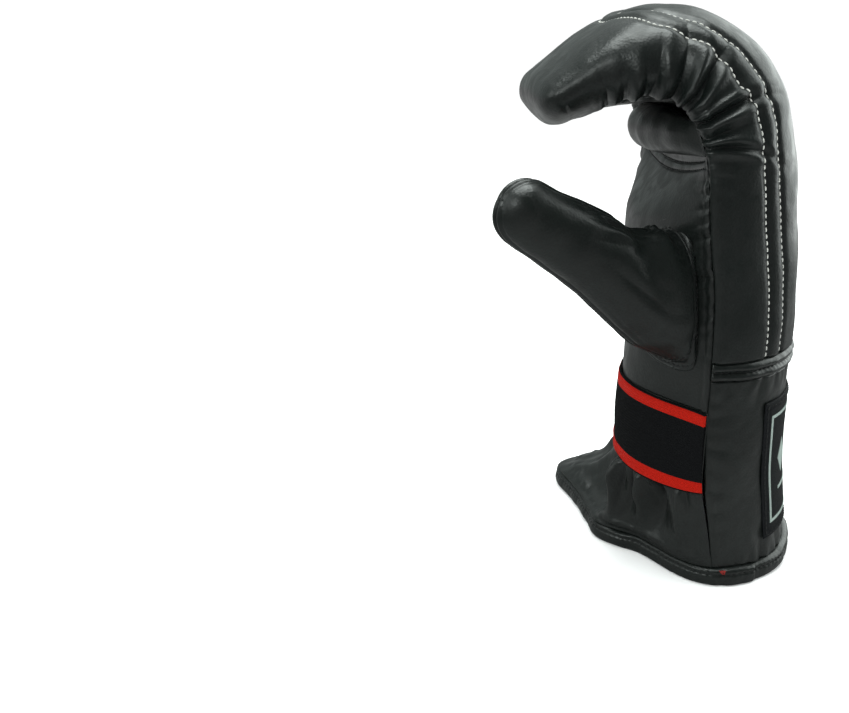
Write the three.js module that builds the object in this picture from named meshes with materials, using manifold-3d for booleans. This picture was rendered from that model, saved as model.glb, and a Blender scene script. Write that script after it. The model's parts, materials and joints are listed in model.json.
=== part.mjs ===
// A right-hand bag glove standing on its cuff: a padded mitt with curled fingers, a sewn thumb, a grip roll
// across the palm, a wrist cuff with an elastic band, and a bound hem.
// Millimetres. +Z is up the glove, +X is the back of the hand, -Y is the thumb side.
// Worn goods are sewn from panels, so each panel is a thick patch of one common outer form. Panels that meet
// are divided at the same rows, with a small seam gap between them.
import * as THREE from "three";
import { mergeVertices } from "three/addons/utils/BufferGeometryUtils.js";
import Module from "manifold-3d";

const wasm = await Module();
wasm.setup();

// Driving sizes of the whole glove
const CUFF_HEIGHT = 104; // floor to the wrist seam
const MITT_HEIGHT = 149.5; // wrist seam to the top of the curl, along the side seam's rows
const HALF_WIDTH = 61; // side seam to the middle
const BACK_DEPTH = 51.3; // side seam to the back of the hand, at the wrist
const PALM_DEPTH = 30; // side seam to the palm, at the foot of the elastic
const FINGER_REACH = 92.5; // side seam at the hem to the fingertips, towards the palm

// Walls and seams
const SEAM_GAP = 0.35; // between panels that are sewn edge to edge, or lie on each other
const PAD = 15; // foam and leather on the back of the hand
const PAD_EDGE = 5; // the same pad at the side seam
const PAD_FULLNESS = 0.7; // how quickly the pad thickens away from the side seam
const PAD_TIP_SHARE = 0.6; // the most of a thin section that the pad may fill
const SKIN = 2.6; // leather and lining of the palm, thumb and cuff
const GUSSET_SKIN = 1.8; // soft leather on the palm side of the cuff

// Trim
const BINDING_HEIGHT = 8.5;
const BINDING_THICKNESS = 6.4;
const BINDING_INSET = 1; // the strip's middle line inside the cuff's outer surface
const PIPING_HEIGHT = 8;
const PIPING_BULGE = 1.6;
const BAND_WIDTH = 38;
const BAND_THICKNESS = 1.5;
const BAND_BOTTOM = 47; // floor to the lower edge of the elastic
const HEM_FLARE = 56; // how far the palm side of the hem spreads from the side seam
const LABEL_WIDTH = 98;
const LABEL_HEIGHT = 68;
const LABEL_THICKNESS = 0.8;
const LABEL_BOTTOM = 18.5;
const LABEL_SHIFT = 10; // the label sits this far towards the thumb side
const TAG_HEIGHT = 15;
const TAG_REACH = 7;
const TAG_THICKNESS = 1.2;
const TAG_BOTTOM = 48;
const ROLL_ROW = 5.45; // the grip roll's middle, as a row number of the mitt
const ROLL_WIDTH = 17; // the grip roll, measured up the palm
const ROLL_HEIGHT = 8; // how far the roll stands out of the palm
const ROLL_EDGE = 0.8; // the roll's flat seam allowance

// Thumb
const THUMB_LENGTH = 84; // root, inside the palm, to the start of the tip's rounding
const THUMB_RISE = 29.5; // degrees above the horizontal
const THUMB_SPREAD = 24; // degrees out from the palm, towards the thumb side
const THUMB_HALF_HEIGHT = 26; // near the root
const THUMB_HALF_THICKNESS = 18; // near the root
const THUMB_FORWARD = 0.3; // the root's middle towards the palm, as a share of FINGER_REACH
const THUMB_SIDEWAYS = 0.66; // towards the thumb side, as a share of HALF_WIDTH
const THUMB_UP = 0.19; // above the wrist seam, as a share of MITT_HEIGHT
const THUMB_HOLE_START = 0.35; // where the hole through the palm takes its section, as t along the thumb
const THUMB_HOLE_REACH = 48; // how far that hole runs back into the palm

// Rows of the outer form, from the hem up and over to the fingertips.
// forward: the side seam's place towards the palm, as a share of FINGER_REACH
// up: as a share of CUFF_HEIGHT, or above the wrist of MITT_HEIGHT
// lean: the way the back faces, in degrees from level to straight up and over
// back, palm, half: shares of BACK_DEPTH, PALM_DEPTH and HALF_WIDTH
// near, far: how square the thumb and little-finger shoulders are, where 2 is an ellipse
// hollow: how sharply the palm side falls away from its middle, where 0.5 is an ellipse
// skew: how much fuller the palm is on the thumb side
// seam: the side seam's place round the section, in degrees from the back's middle
const CUFF_ROWS = [
  {
    forward: 0, up: 0, lean: 0, back: 0.977, palm: 1.47, half: 1.01,
    near: 2.05, far: 2.05, hollow: 0.7, skew: 0.3, seam: 90,
  },
  {
    forward: 0.045, up: 0.25, lean: 0, back: 0.977, palm: 1.2, half: 1,
    near: 2.05, far: 2.05, hollow: 0.65, skew: 0.4, seam: 90,
  },
  {
    forward: 0.088, up: 0.45, lean: 0, back: 0.994, palm: 0.92, half: 1.005,
    near: 2.05, far: 2.05, hollow: 0.65, skew: 0.5, seam: 90,
  },
  {
    forward: 0.108, up: 0.635, lean: 0, back: 0.998, palm: 0.85, half: 1.005,
    near: 2.05, far: 2.05, hollow: 1, skew: 0.5, seam: 90,
  },
  {
    forward: 0.116, up: 0.81, lean: 0, back: 1, palm: 0.8, half: 1,
    near: 2.05, far: 2.05, hollow: 1.3, skew: 0.5, seam: 90,
  },
];
const MITT_ROWS = [
  {
    forward: 0.12, up: 0, lean: 0, back: 1, palm: 0.8, half: 1,
    near: 2.1, far: 2.1, hollow: 1.2, skew: 0.35, seam: 90,
  },
  {
    forward: 0.134, up: 0.181, lean: 3, back: 0.984, palm: 0.76, half: 0.99,
    near: 2.15, far: 2.1, hollow: 1.05, skew: 0.15, seam: 90,
  },
  {
    forward: 0.157, up: 0.301, lean: 6, back: 0.99, palm: 0.7, half: 0.98,
    near: 2.2, far: 2.1, hollow: 0.95, skew: 0, seam: 90,
  },
  {
    forward: 0.187, up: 0.421, lean: 12, back: 0.98, palm: 0.57, half: 0.98,
    near: 2.3, far: 2.1, hollow: 0.85, skew: 0, seam: 91,
  },
  {
    forward: 0.205, up: 0.528, lean: 22, back: 0.955, palm: 0.37, half: 0.98,
    near: 2.45, far: 2.15, hollow: 0.75, skew: 0, seam: 95,
  },
  {
    forward: 0.222, up: 0.625, lean: 36, back: 0.897, palm: 0.26, half: 0.975,
    near: 2.65, far: 2.2, hollow: 0.65, skew: 0, seam: 106,
  },
  {
    forward: 0.254, up: 0.716, lean: 54, back: 0.75, palm: 0.27, half: 0.955,
    near: 2.85, far: 2.2, hollow: 0.6, skew: 0, seam: 118,
  },
  {
    forward: 0.346, up: 0.793, lean: 76, back: 0.59, palm: 0.4, half: 0.93,
    near: 2.9, far: 2.2, hollow: 0.55, skew: 0, seam: 124,
  },
  {
    forward: 0.503, up: 0.829, lean: 95, back: 0.455, palm: 0.54, half: 0.895,
    near: 2.7, far: 2.2, hollow: 0.5, skew: 0, seam: 128,
  },
  {
    forward: 0.66, up: 0.816, lean: 110, back: 0.31, palm: 0.55, half: 0.86,
    near: 2.5, far: 2.2, hollow: 0.5, skew: 0, seam: 136,
  },
  {
    forward: 0.773, up: 0.786, lean: 120, back: 0.235, palm: 0.5, half: 0.82,
    near: 2.4, far: 2.2, hollow: 0.5, skew: 0, seam: 152,
  },
  {
    forward: 0.852, up: 0.759, lean: 126, back: 0.2, palm: 0.47, half: 0.79,
    near: 2.3, far: 2.2, hollow: 0.5, skew: 0, seam: 180,
  },
];
const TIP_BLUNTNESS = 0.35; // how square the fingertips' end is across, where 1 is round
const TIP_FULLNESS = 0.5; // the same for the underside of the fingertips

// The palm side of the hem in plan, from the thumb-side seam to the little-finger seam.
// out: towards the palm, as a share of HEM_FLARE. side: as a share of HALF_WIDTH.
// late: how low down the cloth starts to spread, where 1 is a straight fall from the elastic
const HEM_ROWS = [
  { out: 0, side: -1.01, late: 1 },
  { out: 0.14, side: -0.955, late: 1 },
  { out: 0.27, side: -0.84, late: 1 },
  { out: 0.38, side: -0.69, late: 1.1 },
  { out: 0.5, side: -0.54, late: 1.1 },
  { out: 0.67, side: -0.43, late: 1 },
  { out: 0.81, side: -0.3, late: 1 },
  { out: 0.84, side: -0.1, late: 1.2 },
  { out: 0.87, side: 0.15, late: 1.6 },
  { out: 0.93, side: 0.41, late: 2.2 },
  { out: 1, side: 0.66, late: 2.6 },
  { out: 0.96, side: 0.85, late: 2.6 },
  { out: 0.78, side: 0.97, late: 2.2 },
  { out: 0.53, side: 1.01, late: 1.8 },
  { out: 0.26, side: 1.02, late: 1.3 },
  { out: 0, side: 1.01, late: 1 },
];

// The thumb's sections. along: from the root to the start of the tip's rounding, as a share of THUMB_LENGTH.
// height, thickness: shares of THUMB_HALF_HEIGHT and THUMB_HALF_THICKNESS
const THUMB_ROWS = [
  { along: -0.12, height: 1.5, thickness: 1.25 },
  { along: 0.02, height: 1.2, thickness: 1.08 },
  { along: 0.14, height: 0.98, thickness: 0.95 },
  { along: 0.3, height: 0.82, thickness: 0.86 },
  { along: 0.53, height: 0.67, thickness: 0.77 },
  { along: 0.77, height: 0.57, thickness: 0.7 },
  { along: 1, height: 0.5, thickness: 0.62 },
];

// The binding's half section from its foot to its top, and how many times each panel is divided
const BINDING_SECTION = [0.55, 0.97, 0.95, 0.35];
const LONG_STEPS = 8; // wrist to grip roll
const ROLL_STEPS = 6;
const CURL_STEPS = 6; // grip roll to fingertips
const TIP_STEPS = 6;
const TIP_ROUNDING = [0.22, 0.45, 0.68, 0.88, 1];
const PAD_COLUMNS = 24;
const PALM_COLUMNS = 16;
const CUFF_COLUMNS = 20;
const CUFF_STEPS = 7;
const GUSSET_COLUMNS = 34;
const SPREAD_STEPS = 6; // elastic to hem
const BAND_STEPS = 3;
const HEM_COLUMNS = 30;
const PIPING_STEPS = 8;
const LABEL_COLUMNS = 14;
const LABEL_STEPS = 4;
const THUMB_COLUMNS = 10;
const THUMB_STEPS = 9;
const MEASURES = 96; // points that measure the length of a section
const SEARCHES = 40; // halvings that find a row by its height
const WELD = 1e-3;
const THINNEST = 0.01;

const radians = THREE.MathUtils.degToRad;
const lerp = THREE.MathUtils.lerp;
const clamp = THREE.MathUtils.clamp;
const steps = (from, to, count) => Array.from({ length: count + 1 }, (_, i) => lerp(from, to, i / count));
const middleOf = (points) =>
  points.reduce((sum, p) => sum.add(p), new THREE.Vector3()).divideScalar(points.length);

// A smooth curve through equally spaced values, at place u from 0 to the last value's index
function through(values, u) {
  const last = values.length - 1;
  const i = clamp(Math.floor(u), 0, last - 1);
  const t = u - i;
  const [a, b] = [values[Math.max(i - 1, 0)], values[i]];
  const [c, d] = [values[i + 1], values[Math.min(i + 2, last)]];
  const bend = (2 * a - 5 * b + 4 * c - d) * t * t;
  const twist = (3 * b - a - 3 * c + d) * t * t * t;
  return (2 * b + (c - a) * t + bend + twist) / 2;
}

function rowAt(rows, u) {
  const row = {};
  for (const key of Object.keys(rows[0])) {
    row[key] = through(
      rows.map((r) => r[key]),
      u,
    );
  }
  return row;
}

// The rows in millimetres, hem to fingertips
const FORM = [
  ...CUFF_ROWS.map((r) => ({ ...r, z: r.up * CUFF_HEIGHT })),
  ...MITT_ROWS.map((r) => ({ ...r, z: CUFF_HEIGHT + r.up * MITT_HEIGHT })),
].map((r) => ({
  ...r,
  x: -r.forward * FINGER_REACH,
  lean: radians(r.lean),
  back: r.back * BACK_DEPTH,
  palm: r.palm * PALM_DEPTH,
  half: r.half * HALF_WIDTH,
}));
const WRIST = CUFF_ROWS.length; // row number of the wrist seam
const TIP = FORM.length - 1; // row number where the rounding of the fingertips starts

// The form at row u. Past the last row the section closes over a quarter turn, and u - TIP is its share.
function formAt(u) {
  const row = rowAt(FORM, Math.min(u, TIP));
  if (u > TIP) {
    const turn = radians(90 * (u - TIP));
    const round = row.back * Math.sin(turn);
    const close = Math.max(Math.cos(turn), 0);
    row.x -= Math.sin(row.lean) * round;
    row.z += Math.cos(row.lean) * round;
    row.back *= close;
    row.palm *= Math.pow(close, TIP_FULLNESS);
    row.half *= Math.pow(close, TIP_BLUNTNESS);
    row.seam = FORM[TIP].seam;
  }
  return row;
}

// Row number at a height on the cuff or the lower palm
function rowAtHeight(z) {
  let low = 0;
  let high = WRIST + 2;
  for (let k = 0; k < SEARCHES; k += 1) {
    const middle = (low + high) / 2;
    if (rowAt(FORM, middle).z < z) low = middle;
    else high = middle;
  }
  return low;
}

// A point of a section at an angle round it, from the back's middle (0) to the palm's middle (180), positive
// towards the little finger, and sunk below the outer surface by depth. The palm's half starts a seam gap
// below the back's.
function sectionPoint(row, degrees, depth = 0) {
  const a = radians(degrees);
  const back = Math.max(row.back - depth, THINNEST);
  const palm = Math.max(row.palm - depth, THINNEST);
  const half = Math.max(row.half - depth, THINNEST);
  const cosine = Math.abs(Math.cos(a));
  const sine = Math.sin(a);
  let out;
  let side = half * sine;
  if (Math.abs(degrees) <= 90) {
    const square = degrees < 0 ? row.near : row.far;
    const power = Math.pow(cosine / back, square) + Math.pow(Math.abs(sine) / half, square);
    const radius = Math.pow(power, -1 / square);
    out = radius * Math.cos(a);
    side = radius * sine;
  } else {
    out = -SEAM_GAP - palm * Math.pow(cosine, 2 * row.hollow) * (1 - row.skew * sine);
  }
  return new THREE.Vector3(row.x + out * Math.cos(row.lean), side, row.z + out * Math.sin(row.lean));
}

// Angles that divide a section between two angles into equal lengths of leather
function evenAngles(row, from, to, count) {
  const place = (angle) => sectionPoint(row, angle > 180 ? angle - 360 : angle);
  const lengths = [0];
  let last = place(from);
  for (let k = 1; k <= MEASURES; k += 1) {
    const next = place(lerp(from, to, k / MEASURES));
    lengths.push(lengths[k - 1] + last.distanceTo(next));
    last = next;
  }
  return steps(0, lengths[MEASURES], count).map((want) => {
    let k = 1;
    while (k < MEASURES && lengths[k] < want) k += 1;
    const span = lengths[k] - lengths[k - 1];
    const share = span > 0 ? clamp((want - lengths[k - 1]) / span, 0, 1) : 1;
    const angle = lerp(from, to, (k - 1 + share) / MEASURES);
    return angle > 180 ? angle - 360 : angle;
  });
}

const EDGE_STEP = 0.1; // how finely the palm's edge is found, in degrees
const LAST_EDGE = 179; // and how far round it may be

// The angle just past the side seam where the palm's leather starts, one seam gap away from the back's
function palmEdge(row) {
  const seam = sectionPoint(row, row.seam);
  let angle = row.seam + WELD;
  while (angle < LAST_EDGE && seam.distanceTo(sectionPoint(row, angle)) < SEAM_GAP) angle += EDGE_STEP;
  return angle;
}

const backAngles = (row, count) => evenAngles(row, -row.seam, row.seam, count);
const palmAngles = (row, count) => evenAngles(row, palmEdge(row), 360 - palmEdge(row), count);

// Turns a list of triangles into one closed geometry facing outwards: welds shared corners and drops flat
// triangles and pairs that cancel, which appear where a patch closes on itself.
function weld(triangles) {
  const soup = new THREE.BufferGeometry();
  const numbers = triangles.flat().flatMap((p) => [p.x, p.y, p.z]);
  soup.setAttribute("position", new THREE.Float32BufferAttribute(numbers, 3));
  const merged = mergeVertices(soup, WELD);
  const index = merged.index.array;
  const kept = new Map();
  for (let i = 0; i < index.length; i += 3) {
    const [a, b, c] = index.slice(i, i + 3);
    if (a === b || b === c || c === a) continue;
    const key = [a, b, c].sort((m, n) => m - n).join("_");
    if (kept.has(key)) kept.delete(key);
    else kept.set(key, [a, b, c]);
  }
  const faces = [...kept.values()];
  const corner = (i) => new THREE.Vector3().fromBufferAttribute(merged.attributes.position, i);
  const volume = faces.reduce((sum, [a, b, c]) => sum + corner(a).dot(corner(b).cross(corner(c))), 0);
  merged.setIndex(faces.flatMap(([a, b, c]) => (volume < 0 ? [a, c, b] : [a, b, c])));
  return merged;
}

// A closed solid between two grids of points with the same layout, outer[i][j] and inner[i][j]
function thickPatch(outer, inner) {
  const rows = outer.length - 1;
  const columns = outer[0].length - 1;
  const triangles = [];
  const quad = (a, b, c, d) => triangles.push([a, b, c], [a, c, d]);
  for (let i = 0; i < rows; i += 1) {
    for (let j = 0; j < columns; j += 1) {
      quad(outer[i][j], outer[i][j + 1], outer[i + 1][j + 1], outer[i + 1][j]);
      quad(inner[i][j], inner[i + 1][j], inner[i + 1][j + 1], inner[i][j + 1]);
    }
    const e = columns;
    triangles.push([outer[i][0], outer[i + 1][0], inner[i + 1][0]]);
    triangles.push([outer[i][0], inner[i + 1][0], inner[i][0]]);
    triangles.push([outer[i][e], inner[i + 1][e], outer[i + 1][e]]);
    triangles.push([outer[i][e], inner[i][e], inner[i + 1][e]]);
  }
  for (let j = 0; j < columns; j += 1) {
    quad(outer[0][j], inner[0][j], inner[0][j + 1], outer[0][j + 1]);
    quad(outer[rows][j], outer[rows][j + 1], inner[rows][j + 1], inner[rows][j]);
  }
  return weld(triangles);
}

// A closed solid through rings of points, with a fan at each end
function plug(rings) {
  const triangles = [];
  rings.slice(0, -1).forEach((ring, i) => {
    const next = rings[i + 1];
    for (let j = 0; j < ring.length - 1; j += 1) {
      triangles.push([ring[j], ring[j + 1], next[j + 1]], [ring[j], next[j + 1], next[j]]);
    }
  });
  const last = rings[rings.length - 1];
  const [foot, head] = [middleOf(rings[0]), middleOf(last)];
  for (let j = 0; j < last.length - 1; j += 1) {
    triangles.push([foot, rings[0][j + 1], rings[0][j]], [head, last[j], last[j + 1]]);
  }
  return weld(triangles);
}

function toSolid(geometry) {
  const vertProperties = geometry.attributes.position.array;
  const triVerts = new Uint32Array(geometry.index.array);
  return new wasm.Manifold(new wasm.Mesh({ numProp: 3, vertProperties, triVerts }));
}

function fromSolid(solid) {
  const mesh = solid.getMesh();
  const geometry = new THREE.BufferGeometry();
  const points = [];
  for (let i = 0; i < mesh.numVert; i += 1) {
    points.push(...mesh.vertProperties.subarray(i * mesh.numProp, i * mesh.numProp + 3));
  }
  geometry.setAttribute("position", new THREE.Float32BufferAttribute(points, 3));
  geometry.setIndex([...mesh.triVerts]);
  return geometry;
}

// Rows shared by the back pad, the palm panel and the grip roll
const palmMiddle = (u) => sectionPoint(formAt(u), 180);
const rollRow = WRIST + ROLL_ROW;
const rollReach = ROLL_WIDTH / 2 / palmMiddle(rollRow - 0.5).distanceTo(palmMiddle(rollRow + 0.5));
const padStart = rowAtHeight(CUFF_HEIGHT + PIPING_HEIGHT / 2 + SEAM_GAP);
const palmStart = rowAtHeight(BAND_BOTTOM + BAND_WIDTH + SEAM_GAP);
const rollStations = steps(rollRow - rollReach, rollRow + rollReach, ROLL_STEPS);
const mittStations = [
  ...steps(padStart, rollStations[0], LONG_STEPS),
  ...rollStations.slice(1),
  ...steps(rollStations[ROLL_STEPS], TIP - 2, CURL_STEPS).slice(1),
  ...steps(TIP - 2, TIP, TIP_STEPS).slice(1),
];

// Back pad: foam under leather over the back of the hand, the knuckles and the fingertips, from the wrist
// seam to the seam under the fingers, where it closes round the tips. Its hollow ends in a flat wall at the
// tips.
function backPad() {
  const outer = [];
  const inner = [];
  for (const u of mittStations) {
    const row = formAt(u);
    const angles = backAngles(row, PAD_COLUMNS);
    outer.push(angles.map((a) => sectionPoint(row, a)));
    inner.push(
      angles.map((a, j) => {
        const fullness = Math.pow(Math.sin((Math.PI * j) / PAD_COLUMNS), PAD_FULLNESS);
        return sectionPoint(row, a, Math.min(lerp(PAD_EDGE, PAD, fullness), PAD_TIP_SHARE * row.back));
      }),
    );
  }
  const wall = inner[inner.length - 1];
  const centre = middleOf(wall);
  for (const share of TIP_ROUNDING) {
    const row = formAt(TIP + share);
    outer.push(backAngles(FORM[TIP], PAD_COLUMNS).map((a) => sectionPoint(row, a)));
    inner.push(wall.map((p) => p.clone().lerp(centre, share)));
  }
  return thickPatch(outer, inner);
}

// Palm panel: leather and lining from the elastic up the palm and the inside of the fingers to their tips
function palmPanel() {
  const stations = [...steps(palmStart, padStart, 2).slice(0, -1), ...mittStations.slice(0, -1)];
  const rows = stations.map(formAt);
  const outer = rows.map((row) => palmAngles(row, PALM_COLUMNS).map((a) => sectionPoint(row, a)));
  const inner = rows.map((row) => palmAngles(row, PALM_COLUMNS).map((a) => sectionPoint(row, a, SKIN)));
  return thickPatch(outer, inner);
}

// Grip roll: a stuffed roll sewn across the palm inside the finger curl
function gripRoll() {
  const outer = [];
  const inner = [];
  rollStations.forEach((u, i) => {
    const row = formAt(u);
    const angles = palmAngles(row, PALM_COLUMNS).slice(1, -1);
    const arch = Math.sin((Math.PI * i) / ROLL_STEPS);
    inner.push(angles.map((a) => sectionPoint(row, a, -SEAM_GAP)));
    outer.push(
      angles.map((a, j) => {
        const across = Math.sqrt(Math.sin((Math.PI * (j + 0.5)) / angles.length));
        return sectionPoint(row, a, -SEAM_GAP - ROLL_EDGE - ROLL_HEIGHT * arch * across);
      }),
    );
  });
  return thickPatch(outer, inner);
}

// A wall round the back of the wrist between two heights, with ridges that stand out of it
function backWall(bottom, top, count, bulge) {
  const rows = steps(rowAtHeight(bottom), rowAtHeight(top), count).map(formAt);
  const angles = rows.map((row) => backAngles(row, CUFF_COLUMNS));
  const ridge = (i) => bulge * Math.abs(Math.sin((2 * Math.PI * i) / count));
  const outer = rows.map((row, i) => angles[i].map((a) => sectionPoint(row, a, -ridge(i))));
  const inner = rows.map((row, i) => angles[i].map((a) => sectionPoint(row, a, SKIN)));
  return thickPatch(outer, inner);
}

// The palm side of the hem in plan, at share v from the thumb-side seam to the little-finger seam
function hemPlan(v) {
  const row = rowAt(HEM_ROWS, v * (HEM_ROWS.length - 1));
  return { x: -SEAM_GAP - row.out * HEM_FLARE, y: row.side * HALF_WIDTH, late: row.late };
}

// The thin palm side of the cuff, at a height and share v across. At the elastic it follows the form, and
// below it the leather spreads to the hem.
const gusset = steps(BAND_BOTTOM, BAND_BOTTOM + BAND_WIDTH, BAND_STEPS).map((z) => {
  const row = formAt(rowAtHeight(z));
  return { z, row, angles: palmAngles(row, GUSSET_COLUMNS).reverse() };
});
const heldRow = (level, depth) => level.angles.map((a) => sectionPoint(level.row, a, depth));
const spreadRows = (depth) => {
  const held = heldRow(gusset[0], depth);
  const low = formAt(0);
  return steps(BINDING_HEIGHT + SEAM_GAP, BAND_BOTTOM, SPREAD_STEPS).map((z) => {
    const row = formAt(rowAtHeight(z));
    return held.map((point, j) => {
      const v = j / GUSSET_COLUMNS;
      const plan = hemPlan(v);
      const before = hemPlan(Math.max(v - 1 / GUSSET_COLUMNS, 0));
      const after = hemPlan(Math.min(v + 1 / GUSSET_COLUMNS, 1));
      const along = new THREE.Vector2(after.x - before.x, after.y - before.y).normalize();
      const inset = v > 0 && v < 1 ? depth : 0;
      const spread = Math.pow((BAND_BOTTOM - z) / (BAND_BOTTOM - BINDING_HEIGHT), plan.late);
      const side = v > 0 && v < 1 ? plan.y - along.x * inset : plan.y - Math.sign(plan.y) * depth;
      const x = lerp(point.x - gusset[0].row.x, plan.x + along.y * inset - low.x, spread);
      const y = lerp(point.y / gusset[0].row.half, side / low.half, spread);
      return new THREE.Vector3(row.x + x, y * row.half, z);
    });
  });
};

// Wrist gusset: the soft leather on the palm side of the cuff, gathered by the elastic and spread at the hem
function wristGusset() {
  const wall = (depth) => [...spreadRows(depth), ...gusset.slice(1).map((level) => heldRow(level, depth))];
  return thickPatch(wall(0), wall(GUSSET_SKIN));
}

// Elastic band: woven elastic across the palm side of the wrist, seam to seam, on the gusset
function elasticBand() {
  const wall = (depth) => gusset.map((level) => heldRow(level, depth));
  return thickPatch(wall(-SEAM_GAP - BAND_THICKNESS), wall(-SEAM_GAP));
}

// Hem binding: the rolled leather strip round the whole foot of the cuff, flat underneath
function hemBinding() {
  const foot = formAt(0);
  const backPath = backAngles(foot, HEM_COLUMNS).map((a) => sectionPoint(foot, a));
  const palmPath = steps(1, 0, HEM_COLUMNS)
    .slice(1, -1)
    .map((v) => new THREE.Vector3(hemPlan(v).x, hemPlan(v).y, 0));
  const path = [...backPath, ...palmPath];
  const count = path.length;
  const outward = path.map((_, i) => {
    const along = path[(i + 1) % count].clone().sub(path[(i + count - 1) % count]);
    return new THREE.Vector3(along.y, -along.x, 0).normalize();
  });
  const ringAt = (sign) =>
    BINDING_SECTION.map((share, i) => {
      const reach = sign * (BINDING_THICKNESS / 2) * share - BINDING_INSET;
      const height = (BINDING_HEIGHT * i) / (BINDING_SECTION.length - 1);
      const ring = path.map((p, k) => p.clone().addScaledVector(outward[k], reach).setZ(height));
      return [...ring, ring[0]];
    });
  return thickPatch(ringAt(1), ringAt(-1));
}

// Angle on a section where the leather from the back's middle has a given signed length
function angleAtLength(row, length) {
  const angles = steps(0, 90, MEASURES);
  let travelled = 0;
  let k = 0;
  while (k < MEASURES && travelled < Math.abs(length)) {
    travelled += sectionPoint(row, angles[k]).distanceTo(sectionPoint(row, angles[k + 1]));
    k += 1;
  }
  return Math.sign(length) * angles[k];
}

// Label patch: a woven label on the back of the cuff
function labelPatch() {
  const heights = steps(LABEL_BOTTOM, LABEL_BOTTOM + LABEL_HEIGHT, LABEL_STEPS);
  const rows = heights.map((z) => formAt(rowAtHeight(z)));
  const [left, right] = [-LABEL_WIDTH / 2 - LABEL_SHIFT, LABEL_WIDTH / 2 - LABEL_SHIFT];
  const spans = rows.map((row) => steps(angleAtLength(row, left), angleAtLength(row, right), LABEL_COLUMNS));
  const layer = (depth) => rows.map((row, i) => spans[i].map((a) => sectionPoint(row, a, depth)));
  return thickPatch(layer(-SEAM_GAP - LABEL_THICKNESS), layer(-SEAM_GAP));
}

// Size tag: a folded woven tag at the little-finger side seam of the cuff
function sizeTag() {
  const [foot, head] = [TAG_BOTTOM, TAG_BOTTOM + TAG_HEIGHT].map((z) => formAt(rowAtHeight(z)));
  const box = new THREE.BoxGeometry(TAG_THICKNESS, TAG_REACH, TAG_HEIGHT);
  const edge = Math.max(foot.half, head.half) + SEAM_GAP;
  const x = Math.max(foot.x, head.x) + TAG_THICKNESS / 2;
  box.translate(x, edge + TAG_REACH / 2, TAG_BOTTOM + TAG_HEIGHT / 2);
  box.deleteAttribute("normal");
  box.deleteAttribute("uv");
  return mergeVertices(box, WELD);
}

// The thumb's frame: it leaves the thumb side of the palm, towards the palm and upwards
const level = Math.cos(radians(THUMB_RISE));
const thumbAxis = new THREE.Vector3(
  -level * Math.cos(radians(THUMB_SPREAD)),
  -level * Math.sin(radians(THUMB_SPREAD)),
  Math.sin(radians(THUMB_RISE)),
);
const thumbSide = new THREE.Vector3(0, 0, 1).cross(thumbAxis).normalize().negate();
const thumbUp = new THREE.Vector3().crossVectors(thumbAxis, thumbSide).normalize();
const thumbRoot = new THREE.Vector3(
  -THUMB_FORWARD * FINGER_REACH,
  -THUMB_SIDEWAYS * HALF_WIDTH,
  CUFF_HEIGHT + THUMB_UP * MITT_HEIGHT,
);

// A point of the thumb: t from the root (0) to the start of the tip (1) and round it (2), at an angle round
// the section from the outer side's middle
function thumbPoint(t, degrees, depth) {
  const row = rowAt(THUMB_ROWS, Math.min(t, 1) * (THUMB_ROWS.length - 1));
  const turn = radians(90 * Math.max(t - 1, 0));
  const high = Math.max(row.height * THUMB_HALF_HEIGHT - depth, THINNEST);
  const thick = Math.max(row.thickness * THUMB_HALF_THICKNESS - depth, THINNEST);
  return thumbRoot
    .clone()
    .addScaledVector(thumbAxis, row.along * THUMB_LENGTH + Math.sin(turn) * high)
    .addScaledVector(thumbUp, high * Math.cos(turn) * Math.sin(radians(degrees)))
    .addScaledVector(thumbSide, thick * Math.cos(turn) * Math.cos(radians(degrees)));
}

const thumbStations = [...steps(0, 1, THUMB_STEPS), ...TIP_ROUNDING.map((share) => 1 + share)];

// One of the thumb's two leather panels, which meet along its upper and lower edges
function thumbPanel(from, to) {
  const angles = steps(from, to, THUMB_COLUMNS);
  const wall = (depth) => thumbStations.map((t) => angles.map((a) => thumbPoint(t, a, depth)));
  return thickPatch(wall(0), wall(SKIN));
}

// The hole from the thumb's hollow back into the palm
function thumbHole() {
  const ring = steps(0, 360, 2 * THUMB_COLUMNS).map((a) => thumbPoint(THUMB_HOLE_START, a, SKIN));
  return plug([ring.map((p) => p.clone().addScaledVector(thumbAxis, -THUMB_HOLE_REACH)), ring]);
}

// The palm and back as one solid, grown by the seam gap, which the thumb's root is cut to
function grownForm() {
  const from = rowAtHeight(BAND_BOTTOM);
  const stations = [...steps(from, padStart, LONG_STEPS).slice(0, -1), ...mittStations];
  const rings = stations.map((u) => {
    const row = formAt(u);
    const ring = [...backAngles(row, PAD_COLUMNS), ...palmAngles(row, PALM_COLUMNS)];
    const points = ring.map((a) => sectionPoint(row, a, -SEAM_GAP));
    return [...points, points[0]];
  });
  return plug(rings);
}

// Half the slit between the thumb's two panels, in degrees of its section
const THUMB_SEAM_SPARE = 0.5;
const THUMB_SEAM = THREE.MathUtils.radToDeg(SEAM_GAP / THUMB_HALF_THICKNESS) + THUMB_SEAM_SPARE;

const leather = { color: 0x16181a, roughness: 0.42, metalness: 0 };
const finishes = {
  leather: new THREE.MeshStandardMaterial(leather),
  palmLeather: new THREE.MeshStandardMaterial({ ...leather, color: 0x1a1c1e, roughness: 0.5 }),
  trim: new THREE.MeshStandardMaterial({ ...leather, color: 0x121314, roughness: 0.45 }),
  elastic: new THREE.MeshStandardMaterial({ color: 0x14161a, roughness: 0.9, metalness: 0 }),
  woven: new THREE.MeshStandardMaterial({ color: 0x0b0d0e, roughness: 0.85, metalness: 0 }),
};

const glove = new THREE.Group();
function add(name, geometry, finish) {
  const mesh = new THREE.Mesh(geometry, finishes[finish]);
  mesh.name = name;
  glove.add(mesh);
}

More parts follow.
